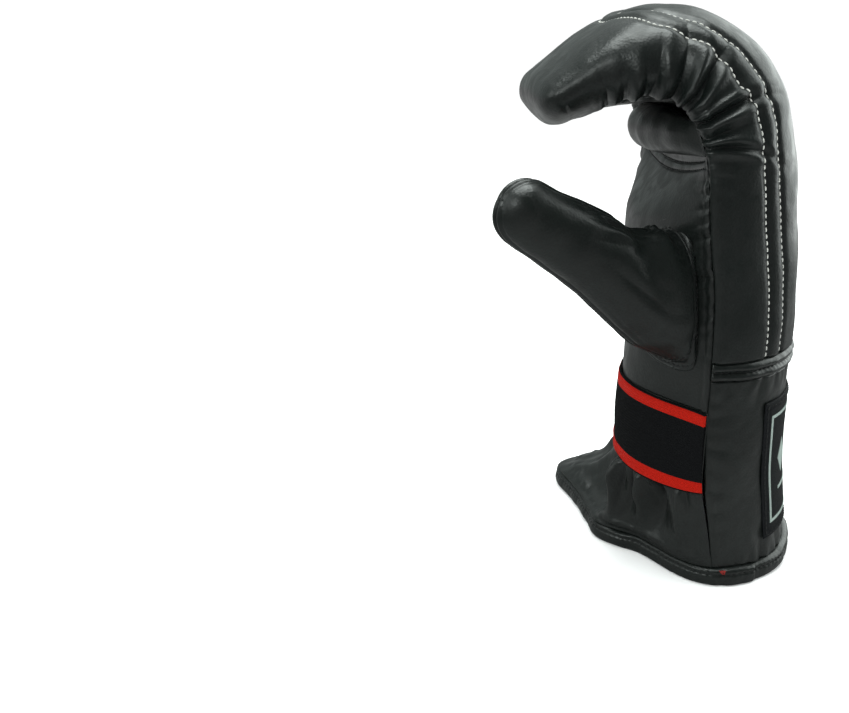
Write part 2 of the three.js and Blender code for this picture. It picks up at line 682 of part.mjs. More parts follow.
const palmAndBack = toSolid(grownForm());
const pipingBottom = CUFF_HEIGHT - PIPING_HEIGHT / 2;
add("back_pad", backPad(), "leather");
add("palm_panel", fromSolid(toSolid(palmPanel()).subtract(toSolid(thumbHole()))), "palmLeather");
add("grip_roll", gripRoll(), "palmLeather");
const outerThumb = toSolid(thumbPanel(90 + THUMB_SEAM, 270 - THUMB_SEAM));
const innerThumb = toSolid(thumbPanel(-90 + THUMB_SEAM, 90 - THUMB_SEAM));
add("thumb_outer", fromSolid(outerThumb.subtract(palmAndBack)), "leather");
add("thumb_inner", fromSolid(innerThumb.subtract(palmAndBack)), "leather");
add("cuff_back", backWall(BINDING_HEIGHT + SEAM_GAP, pipingBottom - SEAM_GAP, CUFF_STEPS, 0), "leather");
add("wrist_piping", backWall(pipingBottom, pipingBottom + PIPING_HEIGHT, PIPING_STEPS, PIPING_BULGE), "trim");
add("wrist_gusset", wristGusset(), "palmLeather");
add("elastic_band", elasticBand(), "elastic");
add("hem_binding", hemBinding(), "trim");
add("label_patch", labelPatch(), "woven");
add("size_tag", sizeTag(), "woven");

// The origin is under the middle of the whole glove
const box = new THREE.Box3().setFromObject(glove);
const middle = box.getCenter(new THREE.Vector3());
for (const mesh of glove.children) {
  mesh.geometry.translate(-middle.x, -middle.y, -box.min.z);
  mesh.geometry.computeVertexNormals();
}

export default glove;
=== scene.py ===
import json

import bpy
import numpy as np
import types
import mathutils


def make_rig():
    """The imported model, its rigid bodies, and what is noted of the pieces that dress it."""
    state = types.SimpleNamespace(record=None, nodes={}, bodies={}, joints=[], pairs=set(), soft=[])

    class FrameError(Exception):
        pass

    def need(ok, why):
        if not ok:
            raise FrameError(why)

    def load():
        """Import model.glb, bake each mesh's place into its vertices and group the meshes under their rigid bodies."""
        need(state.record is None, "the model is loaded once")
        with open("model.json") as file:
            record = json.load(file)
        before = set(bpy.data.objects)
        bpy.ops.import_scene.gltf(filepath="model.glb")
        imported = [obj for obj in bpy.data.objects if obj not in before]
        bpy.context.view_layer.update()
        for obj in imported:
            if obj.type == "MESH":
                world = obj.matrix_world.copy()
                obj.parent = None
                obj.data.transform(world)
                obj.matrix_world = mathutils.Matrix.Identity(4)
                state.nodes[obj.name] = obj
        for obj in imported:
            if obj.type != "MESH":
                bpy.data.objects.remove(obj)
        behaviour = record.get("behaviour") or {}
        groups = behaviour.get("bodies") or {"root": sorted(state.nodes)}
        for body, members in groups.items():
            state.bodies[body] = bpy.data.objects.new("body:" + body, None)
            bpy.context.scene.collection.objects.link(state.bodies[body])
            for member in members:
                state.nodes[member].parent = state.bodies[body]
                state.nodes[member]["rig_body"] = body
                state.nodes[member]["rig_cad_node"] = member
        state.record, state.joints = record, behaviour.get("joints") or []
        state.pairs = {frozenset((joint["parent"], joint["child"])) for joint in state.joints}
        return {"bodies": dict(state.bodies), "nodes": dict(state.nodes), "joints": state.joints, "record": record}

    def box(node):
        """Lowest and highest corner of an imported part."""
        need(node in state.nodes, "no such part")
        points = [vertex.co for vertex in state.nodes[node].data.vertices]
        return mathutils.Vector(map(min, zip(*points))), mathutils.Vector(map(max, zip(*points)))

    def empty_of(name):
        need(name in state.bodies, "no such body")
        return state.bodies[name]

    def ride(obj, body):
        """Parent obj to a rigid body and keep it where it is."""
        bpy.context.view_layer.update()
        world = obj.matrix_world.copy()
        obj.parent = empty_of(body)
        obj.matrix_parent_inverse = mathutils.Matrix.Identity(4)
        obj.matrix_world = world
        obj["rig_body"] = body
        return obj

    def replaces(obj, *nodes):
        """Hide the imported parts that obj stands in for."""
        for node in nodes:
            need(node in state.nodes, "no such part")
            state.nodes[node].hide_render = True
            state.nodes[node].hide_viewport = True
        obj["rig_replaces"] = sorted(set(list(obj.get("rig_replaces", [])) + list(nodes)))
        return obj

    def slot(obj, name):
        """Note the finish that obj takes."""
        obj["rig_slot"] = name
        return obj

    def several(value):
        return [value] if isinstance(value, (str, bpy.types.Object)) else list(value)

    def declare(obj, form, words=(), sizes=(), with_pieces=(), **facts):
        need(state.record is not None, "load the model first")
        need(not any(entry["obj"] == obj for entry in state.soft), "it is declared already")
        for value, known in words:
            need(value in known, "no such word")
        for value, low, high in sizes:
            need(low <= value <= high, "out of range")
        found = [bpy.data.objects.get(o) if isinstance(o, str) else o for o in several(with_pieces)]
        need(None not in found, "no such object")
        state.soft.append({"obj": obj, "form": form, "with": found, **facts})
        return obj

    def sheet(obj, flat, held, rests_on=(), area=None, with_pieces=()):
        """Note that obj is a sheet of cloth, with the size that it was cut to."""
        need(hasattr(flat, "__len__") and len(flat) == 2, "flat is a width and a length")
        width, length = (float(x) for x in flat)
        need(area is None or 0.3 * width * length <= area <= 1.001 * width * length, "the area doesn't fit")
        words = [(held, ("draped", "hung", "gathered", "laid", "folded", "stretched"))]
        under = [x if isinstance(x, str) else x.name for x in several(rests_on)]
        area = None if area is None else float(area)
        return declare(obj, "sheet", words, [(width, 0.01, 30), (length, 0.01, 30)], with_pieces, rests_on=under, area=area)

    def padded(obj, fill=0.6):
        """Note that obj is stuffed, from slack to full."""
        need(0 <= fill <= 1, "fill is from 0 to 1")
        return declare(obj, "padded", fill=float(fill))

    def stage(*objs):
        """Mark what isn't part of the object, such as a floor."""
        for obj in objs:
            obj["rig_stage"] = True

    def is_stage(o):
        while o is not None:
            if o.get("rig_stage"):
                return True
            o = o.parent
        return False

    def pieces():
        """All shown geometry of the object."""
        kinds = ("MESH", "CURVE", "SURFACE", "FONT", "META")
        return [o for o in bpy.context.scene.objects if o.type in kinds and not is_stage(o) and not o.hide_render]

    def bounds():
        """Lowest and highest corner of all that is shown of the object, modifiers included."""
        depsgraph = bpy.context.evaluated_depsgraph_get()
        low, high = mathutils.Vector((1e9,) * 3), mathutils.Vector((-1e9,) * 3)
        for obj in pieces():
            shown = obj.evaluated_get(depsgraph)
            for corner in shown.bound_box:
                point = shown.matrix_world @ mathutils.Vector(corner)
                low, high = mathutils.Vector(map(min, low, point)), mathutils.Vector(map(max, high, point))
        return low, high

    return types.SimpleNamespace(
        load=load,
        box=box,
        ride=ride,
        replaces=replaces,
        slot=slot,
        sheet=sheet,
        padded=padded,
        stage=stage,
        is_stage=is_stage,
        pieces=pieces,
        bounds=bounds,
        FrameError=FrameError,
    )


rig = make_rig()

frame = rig.load()
cad_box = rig.bounds()

# Back pad
# The thick quilted shell over the back of the hand, the knuckles and the fingertips. It is black leather
# over foam, gathered into pleats at the side seams and sewn down along three nested arches of stitches.
CUFF_HEIGHT = 104.0
MITT_HEIGHT = 149.5
HALF_WIDTH = 61.0
BACK_DEPTH = 51.3
PALM_DEPTH = 30.0
FINGER_REACH = 92.5
SEAM_GAP = 0.35
PIPING_HEIGHT = 8.0
TIP_BLUNTNESS = 0.35
TIP_FULLNESS = 0.5
COLUMNS = ("forward", "up", "lean", "back", "palm", "half", "near", "far", "hollow", "skew", "seam")
CUFF_ROWS = [
    (0, 0, 0, 0.977, 1.47, 1.01, 2.05, 2.05, 0.7, 0.3, 90),
    (0.045, 0.25, 0, 0.977, 1.2, 1, 2.05, 2.05, 0.65, 0.4, 90),
    (0.088, 0.45, 0, 0.994, 0.92, 1.005, 2.05, 2.05, 0.65, 0.5, 90),
    (0.108, 0.635, 0, 0.998, 0.85, 1.005, 2.05, 2.05, 1, 0.5, 90),
    (0.116, 0.81, 0, 1, 0.8, 1, 2.05, 2.05, 1.3, 0.5, 90),
]
MITT_ROWS = [
    (0.12, 0, 0, 1, 0.8, 1, 2.1, 2.1, 1.2, 0.35, 90),
    (0.134, 0.181, 3, 0.984, 0.76, 0.99, 2.15, 2.1, 1.05, 0.15, 90),
    (0.157, 0.301, 6, 0.99, 0.7, 0.98, 2.2, 2.1, 0.95, 0, 90),
    (0.187, 0.421, 12, 0.98, 0.57, 0.98, 2.3, 2.1, 0.85, 0, 91),
    (0.205, 0.528, 22, 0.955, 0.37, 0.98, 2.45, 2.15, 0.75, 0, 95),
    (0.222, 0.625, 36, 0.897, 0.26, 0.975, 2.65, 2.2, 0.65, 0, 106),
    (0.254, 0.716, 54, 0.75, 0.27, 0.955, 2.85, 2.2, 0.6, 0, 118),
    (0.346, 0.793, 76, 0.59, 0.4, 0.93, 2.9, 2.2, 0.55, 0, 124),
    (0.503, 0.829, 95, 0.455, 0.54, 0.895, 2.7, 2.2, 0.5, 0, 128),
    (0.66, 0.816, 110, 0.31, 0.55, 0.86, 2.5, 2.2, 0.5, 0, 136),
    (0.773, 0.786, 120, 0.235, 0.5, 0.82, 2.4, 2.2, 0.5, 0, 152),
    (0.852, 0.759, 126, 0.2, 0.47, 0.79, 2.3, 2.2, 0.5, 0, 180),
]
WRIST = len(CUFF_ROWS)
TIP = WRIST + len(MITT_ROWS) - 1
FORM = np.array(CUFF_ROWS + MITT_ROWS, float)
FORM[:WRIST, 1] *= CUFF_HEIGHT
FORM[WRIST:, 1] = CUFF_HEIGHT + FORM[WRIST:, 1] * MITT_HEIGHT
FORM[:, 0] *= -FINGER_REACH
FORM[:, 2] = np.radians(FORM[:, 2])
FORM[:, 3:6] *= (BACK_DEPTH, PALM_DEPTH, HALF_WIDTH)

# the origin is under the middle of the glove, and the side seams' foot is this far from it
HEM_FRONT = FORM[0, 3] + 2.104
ORIGIN = np.array([
    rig.box("hem_binding")[1][0] * 1000 - HEM_FRONT,
    (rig.box("cuff_back")[0][1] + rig.box("cuff_back")[1][1]) * 500,
    0.0,
])


def along_rows(table, u):
    """A smooth curve through a table's equally spaced rows at places u: a cubic through each four rows."""
    last = len(table) - 1
    i = np.clip(np.floor(u).astype(int), 0, last - 1)
    t = (u - i)[..., None]
    a, b, c, d = (table[np.clip(i + k, 0, last)] for k in (-1, 0, 1, 2))
    return 0.5 * (2 * b + (c - a) * t + (2 * a - 5 * b + 4 * c - d) * t**2 + (3 * b - a - 3 * c + d) * t**3)


def form_at(u):
    """The form's values at rows u. Past the last row the section closes over a quarter turn."""
    row = dict(zip(COLUMNS, np.moveaxis(along_rows(FORM, np.minimum(u, TIP)), -1, 0)))
    turn = np.clip(u - TIP, 0, 1) * np.pi / 2
    close = np.maximum(np.cos(turn), 1e-6)
    round_off = row["back"] * np.sin(turn)
    row["forward"] = row["forward"] - np.sin(row["lean"]) * round_off
    row["up"] = row["up"] + np.cos(row["lean"]) * round_off
    row["back"] = row["back"] * close
    row["palm"] = row["palm"] * close**TIP_FULLNESS
    row["half"] = row["half"] * close**TIP_BLUNTNESS
    return row


def skin_point(u, degrees, depth=0.0):
    """Points of the form: a superellipse round the back, a hollowed ellipse round the palm, sunk by depth."""
    row = form_at(u)
    degrees = (np.asarray(degrees) + 180) % 360 - 180
    a = np.radians(degrees)
    cosine, sine = np.abs(np.cos(a)), np.sin(a)
    back, palm, half = (np.maximum(row[k] - depth, 0.01) for k in ("back", "palm", "half"))
    square = np.where(degrees < 0, row["near"], row["far"])
    radius = ((cosine / back) ** square + (np.abs(sine) / half) ** square) ** (-1 / square)
    fall = -SEAM_GAP - palm * cosine ** (2 * row["hollow"]) * (1 - row["skew"] * sine)
    on_back = np.abs(degrees) <= 90
    out = np.where(on_back, radius * np.cos(a), fall)
    side = np.where(on_back, radius, half) * sine
    x = row["forward"] + out * np.cos(row["lean"])
    z = row["up"] + out * np.sin(row["lean"])
    return np.stack(np.broadcast_arrays(x, side, z), -1)


def even_angles(u, start, end, count):
    """For each row, angles from start to end that divide the section into equal lengths of leather."""
    share = np.linspace(0, 1, 181)
    angles = start[:, None] + (end - start)[:, None] * share
    p = skin_point(u[:, None], angles)
    length = np.concatenate([np.zeros((len(u), 1)), np.linalg.norm(np.diff(p, axis=1), axis=-1).cumsum(1)], 1)
    want = np.linspace(0, 1, count)
    return np.stack([np.interp(want * run[-1], run, row) for run, row in zip(length, angles)])


def row_at_height(z):
    """The row number at a height below the curl, read back from the form's own heights."""
    u = np.linspace(0, WRIST + 3, 800)
    return np.interp(z, form_at(u)["up"], u)


def grid_normals(p):
    """Unit normals of a grid: the cross product of its steps along columns and along rows."""
    n = np.cross(np.gradient(p, axis=1), np.gradient(p, axis=0))
    return n / np.maximum(np.linalg.norm(n, axis=-1, keepdims=True), 1e-9)


def run_length(p, axis):
    """Distance travelled along a grid's rows or columns, from zero at the first point."""
    step = np.linalg.norm(np.diff(p, axis=axis), axis=-1)
    start = np.zeros_like(np.take(step, [0], axis=axis))
    return np.concatenate([start, step], axis).cumsum(axis)


def wave_noise(p, size, seed, octaves=3):
    """A soft random field at points p: a sum of sine waves in random directions, about size mm long."""
    rng = np.random.default_rng(seed)
    total = np.zeros(p.shape[:-1])
    for octave in range(octaves):
        for _ in range(7):
            direction = rng.normal(size=3)
            direction *= 2 * np.pi * 2**octave / size / np.linalg.norm(direction) * rng.uniform(0.7, 1.3)
            total += np.sin(p @ direction + rng.uniform(0, 6.28)) * 0.5**octave / 3.5
    return total


def creases(run, edge, folds, scale=1.0):
    """Folds that start at a sewn edge, from rows of (at, slant, depth, width, reach). Each is a valley
    depth * exp(-away) with rounded shoulders, where away is |run - at - slant * edge| * scale over a width that
    grows with edge. It fades as exp(-(edge / reach)^3)."""
    total = np.zeros(np.broadcast_shapes(run.shape, edge.shape))
    for at, slant, depth, width, reach in folds:
        away = np.abs(run - at - slant * edge) * scale / (width * (1 + 0.8 * edge / reach))
        lobe = 1.4 * np.exp(-away) - 0.8 * np.exp(-(((away - 2.6) / 1.4) ** 2))
        total -= depth * lobe * np.exp(-((edge / reach) ** 3))
    return total


def random_folds(seed, places, depth, width, reach, slant=0.01):
    """A seeded row of folds at uneven places. Depth and reach grow together from low to high."""
    rng = np.random.default_rng(seed)
    size = rng.uniform(0, 1, len(places)) ** 1.6
    step = (places[-1] - places[0]) / len(places)
    return np.stack([
        np.asarray(places) + rng.uniform(-0.3, 0.3, len(places)) * step,
        rng.uniform(-slant, slant, len(places)),
        depth[0] + (depth[1] - depth[0]) * size,
        width[0] + (width[1] - width[0]) * size,
        reach[0] + (reach[1] - reach[0]) * size,
    ], 1)


def distance_to(p, path):
    """Each point's distance to the nearest point of a path, a few rows of the grid at a time."""
    flat = p.reshape(-1, 3)
    parts = [np.sqrt(((flat[k:k + 4000, None] - path) ** 2).sum(-1)).min(1) for k in range(0, len(flat), 4000)]
    return np.concatenate(parts).reshape(p.shape[:-1])


def on_grid(grid, i, j):
    """Values of a grid between its points: bilinear at fractional row i and column j."""
    i0 = np.clip(i.astype(int), 0, grid.shape[0] - 2)
    j0 = np.clip(j.astype(int), 0, grid.shape[1] - 2)
    s, t = (i - i0)[:, None], (j - j0)[:, None]
    low = grid[i0, j0] * (1 - t) + grid[i0, j0 + 1] * t
    high = grid[i0 + 1, j0] * (1 - t) + grid[i0 + 1, j0 + 1] * t
    return low * (1 - s) + high * s


def add_mesh(name, points, faces, uv=None, smooth=True):
    """A mesh object at the origin from points in millimetres, with its place in the mesh."""
    mesh = bpy.data.meshes.new(name)
    mesh.from_pydata((points.reshape(-1, 3) + ORIGIN) * 0.001, [], faces)
    mesh.polygons.foreach_set("use_smooth", np.full(len(mesh.polygons), smooth))
    if uv is not None:
        layer = mesh.uv_layers.new(name="cut")
        corner = np.empty(len(mesh.loops), int)
        mesh.loops.foreach_get("vertex_index", corner)
        layer.data.foreach_set("uv", (uv.reshape(-1, 2)[corner] * 0.001).ravel())
    mesh.update()
    piece = bpy.data.objects.new(name, mesh)
    bpy.context.scene.collection.objects.link(piece)
    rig.ride(piece, "root")
    return piece


def ring_faces(rows, columns, ends=True, joined=False):
    """Faces of a tube of closed rings, counted row by row. Its ends are closed by one face each, or joined."""
    i, j = np.meshgrid(np.arange(rows if joined else rows - 1), np.arange(columns), indexing="ij")
    k = (j + 1) % columns
    up = (i + 1) % rows
    quads = np.stack([i * columns + j, i * columns + k, up * columns + k, up * columns + j], -1)
    caps = []
    if ends and not joined:
        caps = [list(range(columns))[::-1], list(range((rows - 1) * columns, rows * columns))]
    return quads.reshape(-1, 4).tolist() + caps


def layered(name, outer, inner, uv=None):
    """A closed panel: each row of outer points runs on round the edge into the row of inner points."""
    ring = np.concatenate([outer, inner[:, ::-1]], 1)
    cut = None
    if uv is not None:
        back = uv[:, np.linspace(uv.shape[1] - 1, 0, inner.shape[1]).astype(int)]
        cut = np.concatenate([uv, back], 1)
    return add_mesh(name, ring, ring_faces(*ring.shape[:2]), cut)


def cut_size(p):
    """A sheet's flat width, length and area in metres: its longest row, its longest column and all its quads."""
    width, length = run_length(p, 1)[:, -1].max(), run_length(p, 0)[-1].max()
    area = np.linalg.norm(np.cross(p[1:, 1:] - p[:-1, :-1], p[1:, :-1] - p[:-1, 1:]), axis=-1).sum() / 2
    return {"flat": (width / 1000, length / 1000), "area": min(area, width * length) / 1e6}


def sewn(name, centre, along, up, length, width, height):
    """Stitches: small capsules along a seam, whose ends dip into the leather."""
    t = np.linspace(-1, 1, 6)
    a = np.linspace(0, 2 * np.pi, 7)[:-1]
    body = np.sqrt(np.maximum(1 - t**2, 0.05))
    side = np.cross(along, up)
    x = (t * length / 2)[:, None] * np.ones(6)
    y = body[:, None] * np.cos(a) * width / 2
    z = body[:, None] * np.sin(a) * height / 2 - (t**4)[:, None] * height * 0.6
    axes = [v[:, None, None] for v in (along, side, up)]
    p = centre[:, None, None] + x[..., None] * axes[0] + y[..., None] * axes[1] + z[..., None] * axes[2]
    one = np.array(ring_faces(6, 6, ends=False))
    shift = 36 * np.arange(len(centre))[:, None]
    faces = (one[None] + shift[..., None]).reshape(-1, 4).tolist()
    faces += (np.arange(6)[None, ::-1] + shift).tolist()
    faces += (np.arange(30, 36)[None] + shift).tolist()
    return add_mesh(name, p, faces)


def along_path(points, normals, pitch):
    """Evenly spaced places on a path, with the direction of travel and the surface's normal there."""
    run = run_length(points, 0)
    at = np.arange(pitch / 2, run[-1], pitch)
    pick = lambda v: np.stack([np.interp(at, run, v[:, k]) for k in range(3)], -1)
    centre, up = pick(points), pick(normals)
    along = np.gradient(centre, axis=0)
    along /= np.linalg.norm(along, axis=1, keepdims=True)
    up -= (up * along).sum(1, keepdims=True) * along
    return centre, along, up / np.linalg.norm(up, axis=1, keepdims=True)


pad_start = row_at_height(CUFF_HEIGHT + PIPING_HEIGHT / 2 + SEAM_GAP)
pad_rows = np.concatenate([
    np.linspace(pad_start, WRIST + 4, 90, endpoint=False),
    np.linspace(WRIST + 4, TIP, 250, endpoint=False),
    TIP + np.linspace(0, 1, 26) ** 0.7,
])
pad_seam = form_at(pad_rows)["seam"]
pad_angles = even_angles(pad_rows, -pad_seam, pad_seam, 200)
pad = skin_point(pad_rows[:, None], pad_angles)
pad_up = grid_normals(pad)
across = run_length(pad, 1)
girth = across[:, -1:]
edge = np.minimum(across, girth - across)
climb = np.abs(np.gradient(run_length(pad, 0), axis=0) / np.gradient(pad_rows)[:, None])

# Three nested arches of stitches. Each has its thumb-side leg's angles at some rows, its little-finger leg's
# angle, the row of its top, and the rows that its rounding takes.
ARCHES = [
    ((5, 7.2, 8.9, 10.1, 10.47, 10.72, 12.2, 12.65), (-64.5, -65.1, -66.7, -68.4, -68.5, -72.2, -72.6, -70.0), 54, 13.45, 0.8),
    ((5, 6.2, 8.3, 9.5, 10.5, 11.8, 12.1), (-53, -53.7, -56.8, -58.8, -59.5, -63.4, -61.5), 29, 13.1, 1.1),
    ((5, 11), (-20, -18), 6, 11.7, 0.6),
]
arch_paths = []
for rows, angles, right, top, rounding in ARCHES:
    leg = np.linspace(pad_start, top - rounding, 260)
    swing = np.linspace(0, np.pi, 200)[1:-1]
    left = np.interp(leg, rows, angles)
    u = np.concatenate([leg, top - rounding + rounding * np.sin(swing), leg[::-1]])
    turned = (left[-1] + right) / 2 - (right - left[-1]) / 2 * np.cos(swing)
    arch_paths.append((u, np.concatenate([left, turned, 0 * leg + right])))
channel = np.min([distance_to(pad, skin_point(u, a)) for u, a in arch_paths], axis=0)

# the folds on the thumb side's bend, from the lowest up: row, slant, depth, width and reach in millimetres
BEND_FOLDS = [
    (9.3, -0.03, 0.35, 1.2, 12),
    (9.72, -0.034, 0.5, 1.2, 14),
    (10.17, -0.038, 1.5, 0.8, 28),
    (10.42, -0.022, 1.5, 0.9, 20),
    (10.68, -0.02, 0.7, 1.2, 12),
    (10.95, -0.022, 2.4, 0.9, 33),
    (11.14, -0.006, 1.0, 1.1, 16),
    (11.42, 0.004, 1.8, 1.1, 21),
    (11.66, -0.007, 2.3, 1.1, 31),
    (11.92, 0.004, 1.3, 1.4, 17),
    (12.14, 0.002, 2.0, 1.7, 34),
]
pad_folds = {
    0: np.concatenate([BEND_FOLDS, random_folds(3, np.arange(12.4, 15.7, 0.21), (0.7, 1.9), (1.2, 1.8), (12, 30))]),
    1: random_folds(4, np.arange(9.3, 15.7, 0.22), (0.5, 1.8), (1.1, 1.7), (11, 30)),
}
relief = -1.1 * np.exp(-((channel / 1.8) ** 2)) + 0.8 * (1 - np.exp(-((channel / 8) ** 2)))
relief -= 0.9 * np.exp(-((edge / 1.1) ** 2)) - 0.5 * np.exp(-(((edge - 4) / 3) ** 2))
bend = np.exp(-(((pad_rows[:, None] - 11.7) / 2.9) ** 4))
relief += 0.9 * bend * np.exp(-(((edge - 15) / 12) ** 2))
smooth_tip = np.clip((14.9 - pad_rows[:, None]) / 1.3, 0, 1)
for side, folds in pad_folds.items():
    off = across if side == 0 else girth - across
    at_seam = (0.5 + 0.5 * np.clip(off / 7, 0, 1)) * np.clip((off + 0.2) / 1.8, 0, 1)
    relief += creases(pad_rows[:, None], off, folds, climb) * smooth_tip * at_seam
relief += 0.35 * wave_noise(pad, 38, 1) + 0.04 * wave_noise(pad, 11, 2)
relief *= np.clip((TIP + 0.9 - pad_rows[:, None]) / 0.9, 0, 1)
pad_skin = pad + pad_up * relief[..., None]

PAD = 15.0
PAD_EDGE = 5.0
fullness = np.sin(np.pi * np.linspace(0, 1, 44)) ** 0.7
inner_angles = np.stack([np.interp(np.linspace(0, 199, 44), np.arange(200), row) for row in pad_angles])
held = np.minimum(pad_rows, TIP)[:, None]
thickness = np.minimum(PAD_EDGE + (PAD - PAD_EDGE) * fullness, 0.6 * form_at(held)["back"])
pad_inner = skin_point(held, inner_angles, thickness)
shut = np.clip(pad_rows - TIP, 0, 1)[:, None, None]
pad_inner = pad_inner * (1 - shut) + pad_inner[-1].mean(0) * shut
pad_cut = np.stack([across - girth / 2, np.repeat(run_length(pad, 0)[:, 100:101], 200, 1)], -1)
pad_shell = layered("pad_shell", pad_skin, pad_inner, pad_cut)
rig.replaces(pad_shell, "back_pad")
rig.slot(pad_shell, "pad_leather")
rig.padded(pad_shell, fill=0.9)


def node(tree, kind, place=(0, 0), **values):
    """A shader node with its properties and its sockets' values."""
    made = tree.nodes.new(kind)
    made.location = place
    for key, value in values.items():
        if key.startswith("in_"):
            made.inputs[key[3:].replace("_", " ")].default_value = value
        else:
            setattr(made, key, value)
    return made


def leather_grain():
    """The grain of coated leather: small cells with soft valleys, fine scratches and a slow change of shade."""
    tree = bpy.data.node_groups.new("leather_grain", "ShaderNodeTree")
    for name, low in (("Cells", 900.0), ("Wrinkles", 0.5)):
        tree.interface.new_socket(name, in_out="INPUT", socket_type="NodeSocketFloat").default_value = low
    for name in ("Shade", "Gloss", "Height"):
        tree.interface.new_socket(name, in_out="OUTPUT", socket_type="NodeSocketFloat")
    given = tree.nodes.new("NodeGroupInput")
    result = tree.nodes.new("NodeGroupOutput")
    place = node(tree, "ShaderNodeTexCoord")
    cells = node(tree, "ShaderNodeTexVoronoi", feature="SMOOTH_F1", in_Smoothness=0.6)
    fine = node(tree, "ShaderNodeTexNoise", in_Detail=4.0, in_Scale=420.0)
    wrinkle = node(tree, "ShaderNodeTexNoise", in_Detail=5.0, in_Scale=70.0, in_Distortion=1.4)
    slow = node(tree, "ShaderNodeTexNoise", in_Detail=3.0, in_Scale=22.0)
    ridge = node(tree, "ShaderNodeMapRange", in_From_Min=0.42, in_From_Max=0.58)
    add = node(tree, "ShaderNodeMath", operation="MULTIPLY_ADD")
    wrinkled = node(tree, "ShaderNodeMath", operation="MULTIPLY_ADD")
    for texture in (cells, fine, wrinkle, slow):
        tree.links.new(place.outputs["Object"], texture.inputs["Vector"])
    tree.links.new(given.outputs["Cells"], cells.inputs["Scale"])
    tree.links.new(fine.outputs["Fac"], add.inputs[0])
    add.inputs[1].default_value = 0.5
    tree.links.new(cells.outputs["Distance"], add.inputs[2])
    tree.links.new(wrinkle.outputs["Fac"], ridge.inputs["Value"])
    tree.links.new(ridge.outputs["Result"], wrinkled.inputs[0])
    tree.links.new(given.outputs["Wrinkles"], wrinkled.inputs[1])
    tree.links.new(add.outputs[0], wrinkled.inputs[2])
    tree.links.new(wrinkled.outputs[0], result.inputs["Height"])
    tree.links.new(slow.outputs["Fac"], result.inputs["Shade"])
    tree.links.new(ridge.outputs["Result"], result.inputs["Gloss"])
    return tree


def leather(name, dark, light, rough, wrinkles, bump):
    """Black coated leather: its shade and gloss change slowly, and its grain is a fine bump."""
    material = bpy.data.materials.new(name)
    material.use_nodes = True
    tree = material.node_tree
    shader = tree.nodes["Principled BSDF"]
    grain = node(tree, "ShaderNodeGroup", node_tree=bpy.data.node_groups.get("leather_grain") or leather_grain())
    grain.inputs["Wrinkles"].default_value = wrinkles
    colour = node(tree, "ShaderNodeMix", data_type="RGBA")
    colour.inputs["A"].default_value = (*dark, 1)
    colour.inputs["B"].default_value = (*light, 1)
    gloss = node(tree, "ShaderNodeMapRange", in_To_Min=rough - 0.05, in_To_Max=rough + 0.07)
    lift = node(tree, "ShaderNodeBump", in_Strength=bump, in_Distance=0.0004)
    tree.links.new(grain.outputs["Shade"], colour.inputs["Factor"])
    tree.links.new(colour.outputs["Result"], shader.inputs["Base Color"])
    tree.links.new(grain.outputs["Gloss"], gloss.inputs["Value"])
    tree.links.new(gloss.outputs["Result"], shader.inputs["Roughness"])
    tree.links.new(grain.outputs["Height"], lift.inputs["Height"])
    tree.links.new(lift.outputs["Normal"], shader.inputs["Normal"])
    shader.inputs["Specular IOR Level"].default_value = 0.5
    shader.inputs["Coat Weight"].default_value = 0.12
    shader.inputs["Coat Roughness"].default_value = 0.3
    return material


pad_shell.data.materials.append(leather("pad_leather", (0.0025, 0.0042, 0.0037), (0.006, 0.0088, 0.008), 0.4, 0.05, 0.2))

# Back stitches
# Thick off-white thread, three stitches to the centimetre, sunk into the channels of the pad's three arches.
STITCH_PITCH = 2.9
arch_stitches = []
for u, a in arch_paths:
    i = np.interp(u, pad_rows, np.arange(len(pad_rows)))
    low = np.clip(i.astype(int), 0, len(pad_rows) - 1)
    j = np.array([np.interp(angle, pad_angles[k], np.arange(200)) for k, angle in zip(low, a)])
    arch_stitches.append(along_path(on_grid(pad_skin, i, j), on_grid(pad_up, i, j), STITCH_PITCH))
centre, along, up = (np.concatenate(v) for v in zip(*arch_stitches))
back_stitches = sewn("back_stitches", centre + 0.1 * up, along, up, 2.3, 0.75, 0.55)
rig.slot(back_stitches, "pad_leather")


def thread(name, colour, rough=0.75):
    """Twisted thread: fine bands across the stitch and a slightly uneven shade."""
    material = bpy.data.materials.new(name)
    material.use_nodes = True
    tree = material.node_tree
    shader = tree.nodes["Principled BSDF"]
    place = node(tree, "ShaderNodeTexCoord")
    twist = node(tree, "ShaderNodeTexNoise", in_Scale=2500.0, in_Detail=2.0)
    mix = node(tree, "ShaderNodeMix", data_type="RGBA")
    mix.inputs["A"].default_value = (*(0.55 * c for c in colour), 1)
    mix.inputs["B"].default_value = (*colour, 1)
    lift = node(tree, "ShaderNodeBump", in_Strength=0.5, in_Distance=0.0002)
    tree.links.new(place.outputs["Object"], twist.inputs["Vector"])
    tree.links.new(twist.outputs["Fac"], mix.inputs["Factor"])
    tree.links.new(mix.outputs["Result"], shader.inputs["Base Color"])
    tree.links.new(twist.outputs["Fac"], lift.inputs["Height"])
    tree.links.new(lift.outputs["Normal"], shader.inputs["Normal"])
    shader.inputs["Roughness"].default_value = rough
    return material


back_stitches.data.materials.append(thread("white_thread", (0.6, 0.61, 0.57)))
black_thread = thread("black_thread", (0.009, 0.01, 0.01), 0.8)

